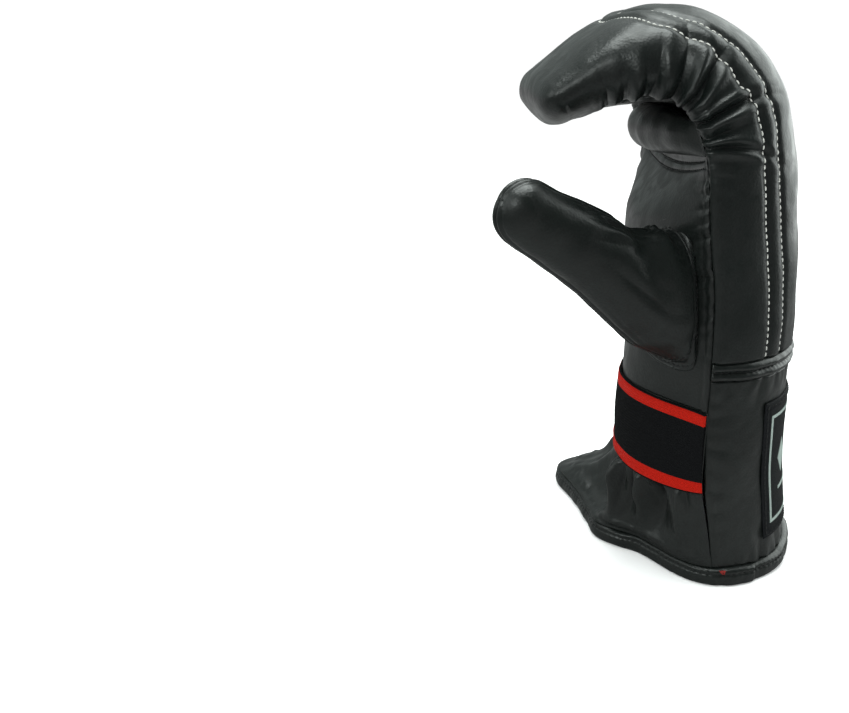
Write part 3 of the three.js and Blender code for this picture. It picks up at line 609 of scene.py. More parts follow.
# Palm panel
# Soft leather from the elastic up the palm and inside the fingers. It has a narrow folded edge along the side
# seams, it is gathered there, and it is drawn in where the grip roll is sewn across it.
SKIN = 2.6
BAND_BOTTOM = 47.0
BAND_WIDTH = 38.0
ROLL_ROW = WRIST + 5.38
ROLL_WIDTH = 14.5
ROLL_HEIGHT = 15.0
ROLL_NECK = 33
palm_start = row_at_height(BAND_BOTTOM + BAND_WIDTH + SEAM_GAP)
palm_rows = np.concatenate([
    np.linspace(palm_start, WRIST + 3, 100, endpoint=False),
    np.linspace(WRIST + 3, WRIST + 7, 150, endpoint=False),
    np.linspace(WRIST + 7, TIP - 0.05, 90),
])


def palm_span(rows, count, edge=0.45):
    """Angles across the palm side, edge mm in from both side seams, in equal lengths of leather."""
    seam = form_at(rows)["seam"]
    trial = skin_point(rows[:, None], seam[:, None] + np.linspace(0.01, 9, 60)[None])
    away = np.linalg.norm(trial - trial[:, :1], axis=-1)
    start = seam + np.array([np.interp(edge, run, np.linspace(0.01, 9, 60)) for run in away])
    return even_angles(rows, start, 360 - start, count)


palm_angles = palm_span(palm_rows, 170)
palm = skin_point(palm_rows[:, None], palm_angles)
palm_up = grid_normals(palm)
palm_across = run_length(palm, 1)
palm_off = np.minimum(palm_across, palm_across[:, -1:] - palm_across)
palm_climb = np.abs(np.gradient(run_length(palm, 0), axis=0) / np.gradient(palm_rows)[:, None])
roll_climb = palm_climb[np.argmin(np.abs(palm_rows - ROLL_ROW))][None]


def drawn_in(rows, wide):
    """How deep the roll's stitches draw the palm in: 7 mm under the roll's lower edge and 9 mm over it, fading
    as exp(-(distance / reach)^2), and as sin(pi * wide)^0.5 towards the side seams."""
    low = (rows - ROLL_ROW) * roll_climb + ROLL_WIDTH / 2
    high = (rows - ROLL_ROW) * roll_climb - ROLL_WIDTH / 2
    low = np.exp(-((low / np.where(low < 0, 11, 5)) ** 2))
    high = np.exp(-((high / np.where(high > 0, 15, 5)) ** 2))
    return (7.0 * low + 9.0 * high) * np.sqrt(np.clip(np.sin(np.pi * wide), 0, 1))


palm_wide = palm_across / palm_across[:, -1:]
palm_relief = 0.3 * np.exp(-(((palm_off - 1.8) / 1.1) ** 2)) - 0.3 * np.exp(-(((palm_off - 4) / 0.8) ** 2))
palm_relief -= 0.4 * np.exp(-((palm_off / 0.8) ** 2))
for side, seed in enumerate((11, 12)):
    off = palm_across if side else palm_across[:, -1:] - palm_across
    folds = random_folds(seed, np.linspace(WRIST + 0.3, TIP - 0.8, 32), (0.15, 0.8), (0.9, 1.5), (6, 20), 0.02)
    palm_relief += creases(palm_rows[:, None], off, folds, palm_climb)
palm_relief += 0.35 * wave_noise(palm, 44, 12) + 0.03 * wave_noise(palm, 13, 13)
low_edge = (palm_rows[:, None] - ROLL_ROW) * roll_climb + ROLL_WIDTH / 2
for groove in (-1.2, -4.2):
    palm_relief -= 0.5 * np.exp(-(((low_edge - groove) / 0.6) ** 2)) * np.clip(palm_off / 4, 0, 1)
palm_relief += 1.6 * np.exp(-(((low_edge + 24) / 11) ** 2)) * np.clip(np.sin(np.pi * palm_wide), 0, 1)
palm_relief *= np.clip(form_at(palm_rows)["palm"] / 6, 0, 1)[:, None]
palm_relief -= drawn_in(palm_rows[:, None], palm_wide)
palm_skin = palm + palm_up * palm_relief[..., None]
palm_dip = drawn_in(palm_rows[:, None], palm_wide)
palm_under = (skin_point(palm_rows[:, None], palm_angles, SKIN) - palm_up * palm_dip[..., None])[:, ::3]
palm_cut = np.stack([palm_across, np.repeat(run_length(palm, 0)[:, 85:86], 170, 1)], -1)
palm_leather = layered("palm_leather", palm_skin, palm_under, palm_cut)
palm_look = leather("palm_leather", (0.003, 0.0045, 0.004), (0.0065, 0.009, 0.008), 0.42, 0.05, 0.2)
palm_leather.data.materials.append(palm_look)
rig.replaces(palm_leather, "palm_panel")
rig.slot(palm_leather, "palm_leather")
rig.sheet(palm_leather, held="stretched", **cut_size(palm))

# Grip roll
# A stuffed leather roll across the palm under the curl of the fingers, sewn down along both edges. Its cover
# is drawn in at the stitches, so the roll is lumpy and creased, and it tapers out at the side seams.
roll_share = np.linspace(0, 1, 54)[:, None]
roll_wide = np.linspace(0, 1, 170)[None]
roll_rows = ROLL_ROW + (roll_share - 0.5) * ROLL_WIDTH / roll_climb
span_rows = np.linspace(ROLL_ROW - 1.5, ROLL_ROW + 1.5, 61)
row_at = (roll_rows - span_rows[0]) / (span_rows[1] - span_rows[0])
column_at = np.tile(np.arange(170.0), 54)
roll_angles = on_grid(palm_span(span_rows, 170)[..., None], row_at.ravel(), column_at).reshape(54, 170)
roll_dip = drawn_in(roll_rows, roll_wide)
roll_base = skin_point(roll_rows, roll_angles, roll_dip - SEAM_GAP)
taper = np.clip(np.sin(np.pi * roll_wide), 0, 1) ** 0.75
foot_low, foot_high = roll_base[0], roll_base[-1]
roll_along = foot_high - foot_low
half_foot = np.linalg.norm(roll_along, axis=-1, keepdims=True) / 2
roll_along /= 2 * half_foot
roll_out = skin_point(roll_rows, roll_angles, -1.0)[27] - skin_point(roll_rows, roll_angles)[27]
roll_out -= (roll_out * roll_along).sum(-1, keepdims=True) * roll_along
roll_out /= np.linalg.norm(roll_out, axis=-1, keepdims=True)
neck = np.radians(ROLL_NECK) * taper
turn = np.pi + neck - roll_share * (np.pi + 2 * neck)
lump = 1 + 0.07 * wave_noise(roll_base * (0.4, 1, 0.4), 30, 21, 2)
rng = np.random.default_rng(22)
for at, lean, depth in zip(np.linspace(0.06, 0.94, 13), rng.uniform(-0.05, 0.05, 13), rng.uniform(0.02, 0.09, 13)):
    away = (roll_wide - at - 0.02 * np.sin(40 * at) - lean * (roll_share - 0.5)) / 0.008
    lump = lump - depth * np.exp(-np.abs(away)) * np.abs(2 * roll_share - 1) ** 1.5
rise = (np.sin(turn) + np.sin(neck)) / (1 + np.sin(neck))
roll_lift = 0.8 + ROLL_HEIGHT * rise * taper * lump
roll_side = np.cos(turn) / np.cos(neck) * half_foot[:, 0]
roll_top = (foot_low + foot_high) / 2 + roll_side[..., None] * roll_along + roll_lift[..., None] * roll_out
grip_roll = layered("grip_roll_leather", roll_top, roll_base)
grip_roll.data.materials.append(leather("roll_leather", (0.0028, 0.0042, 0.0038), (0.006, 0.0085, 0.0075), 0.38, 0.05, 0.2))
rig.replaces(grip_roll, "grip_roll")
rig.slot(grip_roll, "palm_leather")
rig.padded(grip_roll, fill=0.8)

# Thumb
# Two leather panels joined along the upper and lower edges. The root spreads over the palm in an oval flange
# under two rows of stitches, it bulges above them, and the crotch at its top is bunched.
THUMB_LENGTH = 84.0
THUMB_RISE = np.radians(29.5)
THUMB_SPREAD = np.radians(24.0)
THUMB_HALF_HEIGHT = 26.0
THUMB_HALF_THICKNESS = 18.0
FLANGE = 6.0
FLANGE_TONGUE = 6.0
FLANGE_FOOT = 100.5
THUMB_SKIN = 1.6
THUMB_ROWS = np.array([
    (-0.12, 1.5, 1.25),
    (0.02, 1.2, 1.08),
    (0.14, 0.98, 0.95),
    (0.3, 0.82, 0.86),
    (0.53, 0.67, 0.77),
    (0.77, 0.57, 0.7),
    (1, 0.5, 0.62),
])
level = np.cos(THUMB_RISE)
thumb_axis = np.array([-level * np.cos(THUMB_SPREAD), -level * np.sin(THUMB_SPREAD), np.sin(THUMB_RISE)])
thumb_side = np.cross(thumb_axis, (0, 0, 1))
thumb_side /= np.linalg.norm(thumb_side)
thumb_down = np.cross(thumb_axis, thumb_side)
thumb_root = np.array([-0.3 * FINGER_REACH, -0.66 * HALF_WIDTH, CUFF_HEIGHT + 0.19 * MITT_HEIGHT])


def thumb_point(t, turn):
    """Points of the thumb: an ellipse carried along its axis, closed by a quarter turn past t = 1."""
    along, high, thick = np.moveaxis(along_rows(THUMB_ROWS, np.minimum(t, 1) * (len(THUMB_ROWS) - 1)), -1, 0)
    close = np.clip(t - 1, 0, 1) * np.pi / 2
    high, thick = high * THUMB_HALF_HEIGHT, thick * THUMB_HALF_THICKNESS
    reach = along * THUMB_LENGTH + np.sin(close) * high
    fall = high * np.cos(close) * np.sin(turn)
    spread = thick * np.cos(close) * np.cos(turn)
    return thumb_root + reach[..., None] * thumb_axis + fall[..., None] * thumb_down + spread[..., None] * thumb_side


def palm_x(y, z):
    """How far the palm stands towards -X at a place, from the form's own section at that height."""
    row = form_at(row_at_height(z))
    sine = np.clip(y / row["half"], -1, 1)
    cosine = np.sqrt(np.maximum(1 - sine**2, 0))
    return row["forward"] - SEAM_GAP - row["palm"] * cosine ** (2 * row["hollow"]) * (1 - row["skew"] * sine)


# the sleeve starts where it comes out of the palm, and its foot runs on into the flange
turns = np.linspace(0, 2 * np.pi, 181)[:-1]
probe = np.linspace(0, 1, 400)
probed = thumb_point(probe[:, None], turns[None])
sunk = probed[..., 0] > palm_x(probed[..., 1], probed[..., 2]) - 1.2
last_sunk = (sunk * np.arange(400)[:, None]).max(0)
root_t = probe[np.minimum(last_sunk + 1, 399)]
soft = np.exp(-np.linspace(-2, 2, 25) ** 2)
root_t = np.convolve(np.concatenate([root_t[-12:], root_t, root_t[:12]]), soft / soft.sum(), "valid")
sleeve_t = np.concatenate([
    root_t + (1 - root_t) * np.linspace(0, 1, 110)[:, None],
    (1 + np.sin(np.linspace(0, np.pi / 2, 26))[1:, None]) * np.ones(len(turns)),
])
sleeve = thumb_point(sleeve_t, turns[None])
foot = sleeve[0]
out_of_foot = foot[:, 1:] - foot.mean(0)[1:]
out_of_foot /= np.linalg.norm(out_of_foot, axis=1, keepdims=True)
flange_reach = FLANGE + FLANGE_TONGUE * np.clip(-out_of_foot[:, 1:], 0, 1) ** 2
lowest = foot[:, 2].min() - FLANGE - FLANGE_TONGUE


def raise_foot(z):
    """Heights below 130 mm are pressed together evenly, so that the lowest becomes the flange's foot."""
    return np.where(z < 130, 130 - (130 - z) * (130 - FLANGE_FOOT) / (130 - lowest), z)


flange_rows = []
for k in np.linspace(1, 0, 18)[:-1]:
    place = foot[:, 1:] + out_of_foot * flange_reach * k
    limit = 6.0 - form_at(row_at_height(place[:, 1]))["half"]
    place[:, 0] = limit + 3 * np.log1p(np.exp((place[:, 0] - limit) / 3))
    place[:, 1] = raise_foot(place[:, 1])
    flange_rows.append(np.column_stack([palm_x(place[:, 0], place[:, 1]) - 0.6 - 0.9 * (1 - k) ** 2, place]))
hold = np.exp(-((run_length(sleeve, 0) / 26) ** 2))
sleeve[..., 2] = sleeve[..., 2] * (1 - hold) + raise_foot(sleeve[..., 2]) * hold
thumb = np.concatenate([np.stack(flange_rows), sleeve])
for _ in range(120):
    thumb[8:60] = 0.25 * thumb[7:59] + 0.5 * thumb[8:60] + 0.25 * thumb[9:61]
thumb_up = grid_normals(np.concatenate([thumb[:, -2:], thumb, thumb[:, :2]], 1))[:, 2:-2]
thumb_up *= np.sign(((thumb[60] - thumb[60].mean(0)) * thumb_up[60]).sum())
radius = np.linalg.norm(thumb - thumb.mean(1, keepdims=True), axis=-1)
row_mm = run_length(thumb, 0)


def lane(turn):
    """Distance in mm round the thumb from a lane at a given turn, for every point of its grid."""
    return ((turns[None] - turn + np.pi) % (2 * np.pi) - np.pi) * radius


top_edge, low_edge = lane(-np.pi / 2), lane(np.pi / 2)
seam_mm = np.minimum(np.abs(top_edge), np.abs(low_edge))
welt = -1.0 * np.exp(-((seam_mm / 0.8) ** 2)) + 0.5 * np.exp(-(((seam_mm - 2.2) / 1.1) ** 2))
welt -= 0.3 * np.exp(-(((seam_mm - 4) / 0.8) ** 2))
thumb_relief = welt * np.clip((row_mm - FLANGE) / 8, 0, 1)
upper = np.exp(-((lane(-1.9) / 26) ** 2))
thumb_relief += upper * (2.2 * np.exp(-(((row_mm - 14) / 5) ** 2)) - 2.6 * np.exp(-(((row_mm - 27) / 6.5) ** 2)))
rng = np.random.default_rng(31)
for _ in range(26):
    turn, start, reach = rng.uniform(0, 2 * np.pi), rng.uniform(6, 30), rng.uniform(12, 42)
    mm = np.abs(lane(turn) - rng.uniform(-0.25, 0.25) * (row_mm - start))
    span = np.exp(-(((row_mm - start - reach / 2) / (reach / 2)) ** 2))
    valley = np.exp(-mm / 1.3) - 0.5 * np.exp(-(((mm - 3.4) / 2) ** 2))
    thumb_relief -= rng.uniform(0.2, 0.8) * span * valley
crotch = np.exp(-((top_edge / 11) ** 2)) * np.exp(-(((row_mm - 13) / 9) ** 2))
thumb_relief += 1.5 * crotch * wave_noise(thumb, 10, 32, 2) - 1.6 * crotch
thumb_relief += 0.5 * wave_noise(thumb, 38, 33, 2) * np.clip(row_mm / 14, 0, 1)
for groove in (1.6, 4.4):
    thumb_relief -= 0.6 * np.exp(-(((row_mm - groove) / 0.55) ** 2))
thumb_skin = thumb + thumb_up * thumb_relief[..., None]
depth = np.where(row_mm < FLANGE, 0.4, THUMB_SKIN) * np.clip(row_mm / 4, 0.2, 1)
thumb_lining = thumb_skin - thumb_up * depth[..., None]
thumb_look = leather("thumb_leather", (0.0025, 0.004, 0.0035), (0.006, 0.0085, 0.0075), 0.36, 0.05, 0.2)
for name, columns in (("thumb_outer", np.arange(45, 136)), ("thumb_inner", np.arange(-45, 46))):
    piece = layered(name + "_leather", thumb_skin[:, columns], thumb_lining[:, columns[::3]])
    piece.data.materials.append(thumb_look)
    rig.replaces(piece, name)
    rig.slot(piece, "thumb_leather")
    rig.sheet(piece, held="stretched", **cut_size(thumb[:, columns]))

# Cuff back
# A stiff leather wall round the back of the wrist, from the binding to the piping. It is turned in at the side
# seams and slightly creased along its sewn edges.
BINDING_HEIGHT = 8.5
LEATHER = (0.0028, 0.0044, 0.0038)
LEATHER_LIGHT = (0.0065, 0.0092, 0.0082)
cuff_z = np.linspace(BINDING_HEIGHT + SEAM_GAP, CUFF_HEIGHT - PIPING_HEIGHT / 2 - SEAM_GAP, 120)
cuff_rows = row_at_height(cuff_z)
cuff_angles = even_angles(cuff_rows, np.full(120, -90.0), np.full(120, 90.0), 220)
cuff = skin_point(cuff_rows[:, None], cuff_angles)
cuff_up = grid_normals(cuff)
cuff_across = run_length(cuff, 1)
cuff_off = np.minimum(cuff_across, cuff_across[:, -1:] - cuff_across)
top_off, low_off = (cuff_z[-1] - cuff_z)[:, None], (cuff_z - cuff_z[0])[:, None]
cuff_relief = 0.55 * wave_noise(cuff, 60, 41, 2) + 0.07 * wave_noise(cuff, 13, 42)
cuff_relief -= 0.4 * np.exp(-((cuff_off / 0.9) ** 2)) - 0.35 * np.exp(-(((cuff_off - 2.6) / 1.3) ** 2))
cuff_relief += creases(cuff_across, top_off, random_folds(43, np.arange(6, 176, 7.5), (0.1, 0.6), (0.9, 1.4), (4, 13), 0.3))
cuff_relief += creases(cuff_across, low_off, random_folds(44, np.arange(4, 176, 8), (0.1, 0.75), (1, 1.6), (5, 18), 0.3))
for side in (0, 1):
    off = cuff_across if side == 0 else cuff_across[:, -1:] - cuff_across
    cuff_relief += creases(cuff_z[:, None], off, random_folds(45 + side, np.arange(14, 98, 11), (0.05, 0.35), (1, 1.5), (5, 16), 0.3))
cuff_skin = cuff + cuff_up * cuff_relief[..., None]
cuff_cut = np.stack([cuff_across, np.repeat(cuff_z[:, None], 220, 1)], -1)
cuff_leather = layered("cuff_leather", cuff_skin, skin_point(cuff_rows[:, None], cuff_angles[:, ::4], SKIN), cuff_cut)
cuff_look = leather("cuff_leather", LEATHER, LEATHER_LIGHT, 0.4, 0.05, 0.2)
cuff_leather.data.materials.append(cuff_look)
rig.replaces(cuff_leather, "cuff_back")
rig.slot(cuff_leather, "cuff_leather")
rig.sheet(cuff_leather, held="stretched", **cut_size(cuff))

# Wrist piping
# A folded strip between the pad and the cuff. Two ridges are filled with cord, and a row of stitches runs in
# the groove between them.
PIPING_BULGE = 1.6
pipe_share = np.linspace(0, 1, 40)
pipe_rows = row_at_height(CUFF_HEIGHT + PIPING_HEIGHT * (pipe_share - 0.5))
pipe_angles = even_angles(pipe_rows, np.full(40, -90.0), np.full(40, 90.0), 420)
pipe = skin_point(pipe_rows[:, None], pipe_angles)
pipe_up = grid_normals(pipe)
pipe_across = run_length(pipe, 1)
ridge = PIPING_BULGE * np.abs(np.sin(2 * np.pi * pipe_share))[:, None] ** 0.8 - 0.3
pucker = 0.14 * np.sin(2 * np.pi * pipe_across / STITCH_PITCH) * np.exp(-(((pipe_share[:, None] - 0.5) / 0.12) ** 2))
pipe_skin = pipe + pipe_up * (ridge + pucker + 0.25 * wave_noise(pipe, 16, 51))[..., None]
piping = layered("piping_leather", pipe_skin, skin_point(pipe_rows[:, None], pipe_angles[:, ::6], SKIN))
trim_look = leather("trim_leather", LEATHER, LEATHER_LIGHT, 0.36, 0.05, 0.2)
piping.data.materials.append(trim_look)
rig.replaces(piping, "wrist_piping")
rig.slot(piping, "trim_leather")
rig.sheet(piping, held="folded", **cut_size(pipe_skin))

# Wrist gusset
# Thin leather on the palm side of the cuff. The elastic gathers it, and below that it spreads in deep folds to
# the hem, with a far lobe that stands out on the little-finger side.
HEM_FLARE = 56.0
GUSSET_SKIN = 1.8
# out: towards the palm as a share of the flare. side: as a share of the half width. late: how late it spreads.
HEM_ROWS = np.array([
    (0, -1.01, 1),
    (0.14, -0.955, 1),
    (0.27, -0.84, 1),
    (0.38, -0.69, 1.1),
    (0.5, -0.54, 1.1),
    (0.67, -0.43, 1),
    (0.81, -0.3, 1),
    (0.84, -0.1, 1.2),
    (0.87, 0.15, 1.6),
    (0.93, 0.41, 2.2),
    (1, 0.66, 2.6),
    (0.96, 0.85, 2.6),
    (0.78, 0.97, 2.2),
    (0.53, 1.01, 1.8),
    (0.26, 1.02, 1.3),
    (0, 1.01, 1),
])
GUSSET_COLUMNS = 300
share = np.linspace(0, 1, GUSSET_COLUMNS)
plan = along_rows(HEM_ROWS, share * (len(HEM_ROWS) - 1))
hem_x, hem_y = -SEAM_GAP - plan[:, 0] * HEM_FLARE, plan[:, 1] * HALF_WIDTH
band_z = np.linspace(BAND_BOTTOM, BAND_BOTTOM + BAND_WIDTH, 30)
band_rows = row_at_height(band_z)
held = skin_point(band_rows[:, None], palm_span(band_rows, GUSSET_COLUMNS)[:, ::-1])
fall_z = np.linspace(BINDING_HEIGHT + SEAM_GAP, BAND_BOTTOM, 100, endpoint=False)
fall = form_at(row_at_height(fall_z))
above, below = form_at(band_rows[:1]), form_at(np.zeros(1))
spread = ((BAND_BOTTOM - fall_z[:, None]) / (BAND_BOTTOM - BINDING_HEIGHT)) ** plan[:, 2]
swing = held[0, :, 0] - above["forward"]
x = fall["forward"][:, None] + swing + (hem_x - below["forward"] - swing) * spread
held_share = held[0, :, 1] / above["half"]
y = fall["half"][:, None] * (held_share + (hem_y / below["half"] - held_share) * spread)
gusset = np.concatenate([np.stack([x, y, np.repeat(fall_z[:, None], GUSSET_COLUMNS, 1)], -1), held])
gusset_off = run_length(gusset, 1)
gusset_off = np.minimum(gusset_off, gusset_off[:, -1:] - gusset_off)
gusset[..., 0] += (SEAM_GAP - 0.1) * np.exp(-gusset_off / 1.5)
gusset_up = -grid_normals(gusset)
gusset_across = run_length(gusset, 1)
gusset_z = np.concatenate([fall_z, band_z])[:, None]
hang = np.clip((BAND_BOTTOM - gusset_z) / (BAND_BOTTOM - BINDING_HEIGHT), 0, 1)
# the large folds: share across, slant per mm of fall, height of the crest, width as a share, and how low they reach
FOLDS = [
    (0.035, 0.0, -0.5, 0.012, 1.0),
    (0.085, 0.0006, 3.2, 0.02, 0.9),
    (0.155, 0.0012, -9.0, 0.032, 0.85),
    (0.225, 0.001, 4.0, 0.018, 0.85),
    (0.265, 0.0012, -2.6, 0.012, 0.8),
    (0.355, 0.0, 7.5, 0.024, 0.98),
    (0.475, 0.0, -20.0, 0.055, 0.97),
    (0.66, 0.0, 3.0, 0.03, 0.9),
    (0.6, -0.001, -2.0, 0.018, 0.85),
    (0.31, 0.001, -2.2, 0.014, 0.8),
    (0.71, -0.0012, -3.2, 0.018, 0.8),
    (0.79, -0.001, 2.6, 0.02, 0.9),
    (0.88, -0.0006, -2.6, 0.016, 0.9),
    (0.95, 0.0, 1.2, 0.012, 1.0),
]
gusset_relief = 0.5 * wave_noise(gusset, 26, 61) * np.clip(hang * 4, 0, 1)
for at, slant, height, width, low in FOLDS:
    away = (share[None] - at - slant * (BAND_BOTTOM - gusset_z)) / (width * (1 + 0.6 * hang))
    crest = np.exp(-away**2) if height > 0 else np.exp(-np.abs(away) ** 1.4)
    gusset_relief += height * crest * np.sin(np.pi * np.clip(hang / low, 0, 1) ** 0.7) ** 0.9
gathers = random_folds(62, np.arange(3, gusset_across[100, -1], 5.2), (0.3, 1.1), (0.7, 1.2), (7, 19), 0.15)
gusset_relief += creases(gusset_across, np.maximum(BAND_BOTTOM - gusset_z, 0), gathers)
gusset_relief += (0.9 + 0.5 * wave_noise(gusset, 14, 63)) * np.exp(-(((gusset_z - 13) / 2.2) ** 2))
gusset_relief *= np.clip((gusset_z - gusset_z[0]) / 2, 0, 1) * np.clip((BAND_BOTTOM + 1.5 - gusset_z) / 3, 0, 1)
gusset_off = np.minimum(gusset_across, gusset_across[:, -1:] - gusset_across)
gusset_relief = gusset_relief * np.clip(gusset_off / 5, 0, 1) - 0.3 * np.exp(-((gusset_off / 1.0) ** 2))
gusset_skin = gusset + gusset_up * gusset_relief[..., None]
gusset_under = (gusset_skin - gusset_up * GUSSET_SKIN)[:, ::4]
gusset_leather = layered("gusset_leather", gusset_skin, gusset_under)
gusset_leather.data.materials.append(leather("gusset_leather", LEATHER, LEATHER_LIGHT, 0.42, 0.05, 0.2))
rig.replaces(gusset_leather, "wrist_gusset")
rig.slot(gusset_leather, "cuff_leather")
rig.sheet(gusset_leather, held="gathered", **cut_size(gusset_skin))

# Elastic band
# A woven elastic tape across the palm side of the wrist, black with a red stripe along each edge. Fine ribs
# run along it, and it is stretched from seam to seam.
BAND_THICKNESS = 1.5
elastic_up = grid_normals(held) * -1
bulge = 0.25 * wave_noise(held, 30, 71, 2)[..., None] * elastic_up
edge_round = np.clip(np.minimum(band_z - band_z[0], band_z[-1] - band_z) / 1.3, 0, 1)[:, None, None] ** 0.5
elastic = held + elastic_up * (SEAM_GAP + BAND_THICKNESS * (0.45 + 0.55 * edge_round)) + bulge
elastic_cut = np.stack([run_length(held, 1), np.repeat((band_z - BAND_BOTTOM)[:, None], GUSSET_COLUMNS, 1)], -1)
elastic_band = layered("elastic_tape", elastic, (held + elastic_up * SEAM_GAP * 0.9 + bulge)[:, ::4], elastic_cut)
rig.replaces(elastic_band, "elastic_band")
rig.slot(elastic_band, "elastic")
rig.sheet(elastic_band, held="stretched", **cut_size(elastic))


def weave():
    """A woven ground: threads cross as |sin| along one way and the other, and their height is the larger."""
    tree = bpy.data.node_groups.new("weave", "ShaderNodeTree")
    for name, start in (("Across", 4000.0), ("Along", 4000.0)):
        tree.interface.new_socket(name, in_out="INPUT", socket_type="NodeSocketFloat").default_value = start
    for name in ("Height", "Shade"):
        tree.interface.new_socket(name, in_out="OUTPUT", socket_type="NodeSocketFloat")
    given = tree.nodes.new("NodeGroupInput")
    result = tree.nodes.new("NodeGroupOutput")
    cut = node(tree, "ShaderNodeUVMap", uv_map="cut")
    parts = tree.nodes.new("ShaderNodeSeparateXYZ")
    tree.links.new(cut.outputs["UV"], parts.inputs[0])
    waves = []
    for axis, name in (("X", "Across"), ("Y", "Along")):
        scaled = node(tree, "ShaderNodeMath", operation="MULTIPLY")
        wave = node(tree, "ShaderNodeMath", operation="SINE")
        size = node(tree, "ShaderNodeMath", operation="ABSOLUTE")
        tree.links.new(parts.outputs[axis], scaled.inputs[0])
        tree.links.new(given.outputs[name], scaled.inputs[1])
        tree.links.new(scaled.outputs[0], wave.inputs[0])
        tree.links.new(wave.outputs[0], size.inputs[0])
        waves.append(size)
    height = node(tree, "ShaderNodeMath", operation="MULTIPLY")
    tree.links.new(waves[0].outputs[0], height.inputs[0])
    tree.links.new(waves[1].outputs[0], height.inputs[1])
    fuzz = node(tree, "ShaderNodeTexNoise", in_Scale=1400.0, in_Detail=2.0)
    place = node(tree, "ShaderNodeTexCoord")
    tree.links.new(place.outputs["Object"], fuzz.inputs["Vector"])
    tree.links.new(height.outputs[0], result.inputs["Height"])
    tree.links.new(fuzz.outputs["Fac"], result.inputs["Shade"])
    return tree


def woven(name, ground, across, along, rough=0.8, stripe=None):
    """Cloth with a visible weave. stripe is (colour, from, to, width): bands in from both edges of the cloth."""
    material = bpy.data.materials.new(name)
    material.use_nodes = True
    tree = material.node_tree
    shader = tree.nodes["Principled BSDF"]
    threads = node(tree, "ShaderNodeGroup", node_tree=bpy.data.node_groups.get("weave") or weave())
    threads.inputs["Across"].default_value = across
    threads.inputs["Along"].default_value = along
    shade = node(tree, "ShaderNodeMapRange", in_To_Min=0.7, in_To_Max=1.25)
    tint = node(tree, "ShaderNodeMix", data_type="RGBA", blend_type="MULTIPLY")
    tint.inputs["Factor"].default_value = 1.0
    tint.inputs["A"].default_value = (*ground, 1)
    tree.links.new(threads.outputs["Shade"], shade.inputs["Value"])
    tree.links.new(shade.outputs["Result"], tint.inputs["B"])
    if stripe:
        colour, start, stop, width = stripe
        cut = node(tree, "ShaderNodeUVMap", uv_map="cut")
        parts = tree.nodes.new("ShaderNodeSeparateXYZ")
        middle = node(tree, "ShaderNodeMath", operation="SUBTRACT")
        middle.inputs[1].default_value = width / 2
        size = node(tree, "ShaderNodeMath", operation="ABSOLUTE")
        band = node(tree, "ShaderNodeMath", operation="COMPARE")
        band.inputs[1].default_value = width / 2 - (start + stop) / 2
        band.inputs[2].default_value = (stop - start) / 2
        pick = node(tree, "ShaderNodeMix", data_type="RGBA")
        pick.inputs["A"].default_value = (*ground, 1)
        pick.inputs["B"].default_value = (*colour, 1)
        tree.links.new(cut.outputs["UV"], parts.inputs[0])
        tree.links.new(parts.outputs["Y"], middle.inputs[0])
        tree.links.new(middle.outputs[0], size.inputs[0])
        tree.links.new(size.outputs[0], band.inputs[0])
        tree.links.new(band.outputs[0], pick.inputs["Factor"])
        tree.links.new(pick.outputs["Result"], tint.inputs["A"])
    lift = node(tree, "ShaderNodeBump", in_Strength=0.6, in_Distance=0.0003)
    tree.links.new(tint.outputs["Result"], shader.inputs["Base Color"])
    tree.links.new(threads.outputs["Height"], lift.inputs["Height"])
    tree.links.new(lift.outputs["Normal"], shader.inputs["Normal"])
    shader.inputs["Roughness"].default_value = rough
    shader.inputs["Specular IOR Level"].default_value = 0.06
    return material


RED = (0.27, 0.006, 0.002)
elastic_band.data.materials.append(
    woven("elastic_weave", (0.0035, 0.0038, 0.0042), 3500.0, 2600.0, 0.8, (RED, 0.0008, 0.0058, BAND_WIDTH / 1000))
)

# Hem binding
# A leather strip rolled round the foot of the cuff and sewn through near its top, puckered by the stitches.
# Its end laps over its start by the thumb-side seam.
BINDING_THICKNESS = 6.4
BINDING_INSET = 1.0
BINDING_PATH = 900
foot_angles = even_angles(np.zeros(1), np.array([-90.0]), np.array([90.0]), 400)
back_path = skin_point(np.zeros(1)[:, None], foot_angles)[0]
front_path = np.column_stack([hem_x, hem_y, 0 * hem_x])[::-1][1:-1]
loop = np.concatenate([back_path, front_path, back_path[:1]])
loop_run = run_length(loop, 0)
at = np.linspace(0, loop_run[-1], BINDING_PATH, endpoint=False)
path = np.stack([np.interp(at, loop_run, loop[:, k]) for k in range(3)], -1)
for _ in range(12):
    path = 0.25 * np.roll(path, 1, 0) + 0.5 * path + 0.25 * np.roll(path, -1, 0)
heading = np.roll(path, -1, 0) - np.roll(path, 1, 0)
outward = np.cross(heading, (0, 0, 1))
outward /= np.linalg.norm(outward, axis=1, keepdims=True)
level = np.concatenate([np.linspace(0, 1, 15), np.linspace(1, 0, 15)])
sign = np.repeat((1, -1), 15)
reach = np.interp(level, (0, 0.06, 0.16, 0.35, 0.67, 0.86, 0.95, 1), (0.5, 0.72, 0.9, 0.98, 0.97, 0.82, 0.6, 0.3))
reach = reach * BINDING_THICKNESS / 2
groove = 0.7 * np.exp(-(((level - 0.72) / 0.07) ** 2))
lap = np.clip((at - 4) / 1.2, 0, 1) * np.clip((20 - at) / 1.2, 0, 1)
pinch = 0.12 * np.sin(2 * np.pi * at / STITCH_PITCH)[:, None] * np.exp(-(((level - 0.72) / 0.15) ** 2))
soft_path = 0.45 * wave_noise(path, 17, 81)[:, None]
thick = reach[None] - groove + pinch + soft_path * np.sin(np.pi * level) + 0.7 * lap[:, None] * (level > 0.03)
rings = path[:, None] + outward[:, None] * (sign * thick - BINDING_INSET)[..., None]
wavy = 0.5 * wave_noise(path, 21, 82)[:, None]
rings[..., 2] = BINDING_HEIGHT * level + np.clip(level - 0.6, 0, 1) * wavy
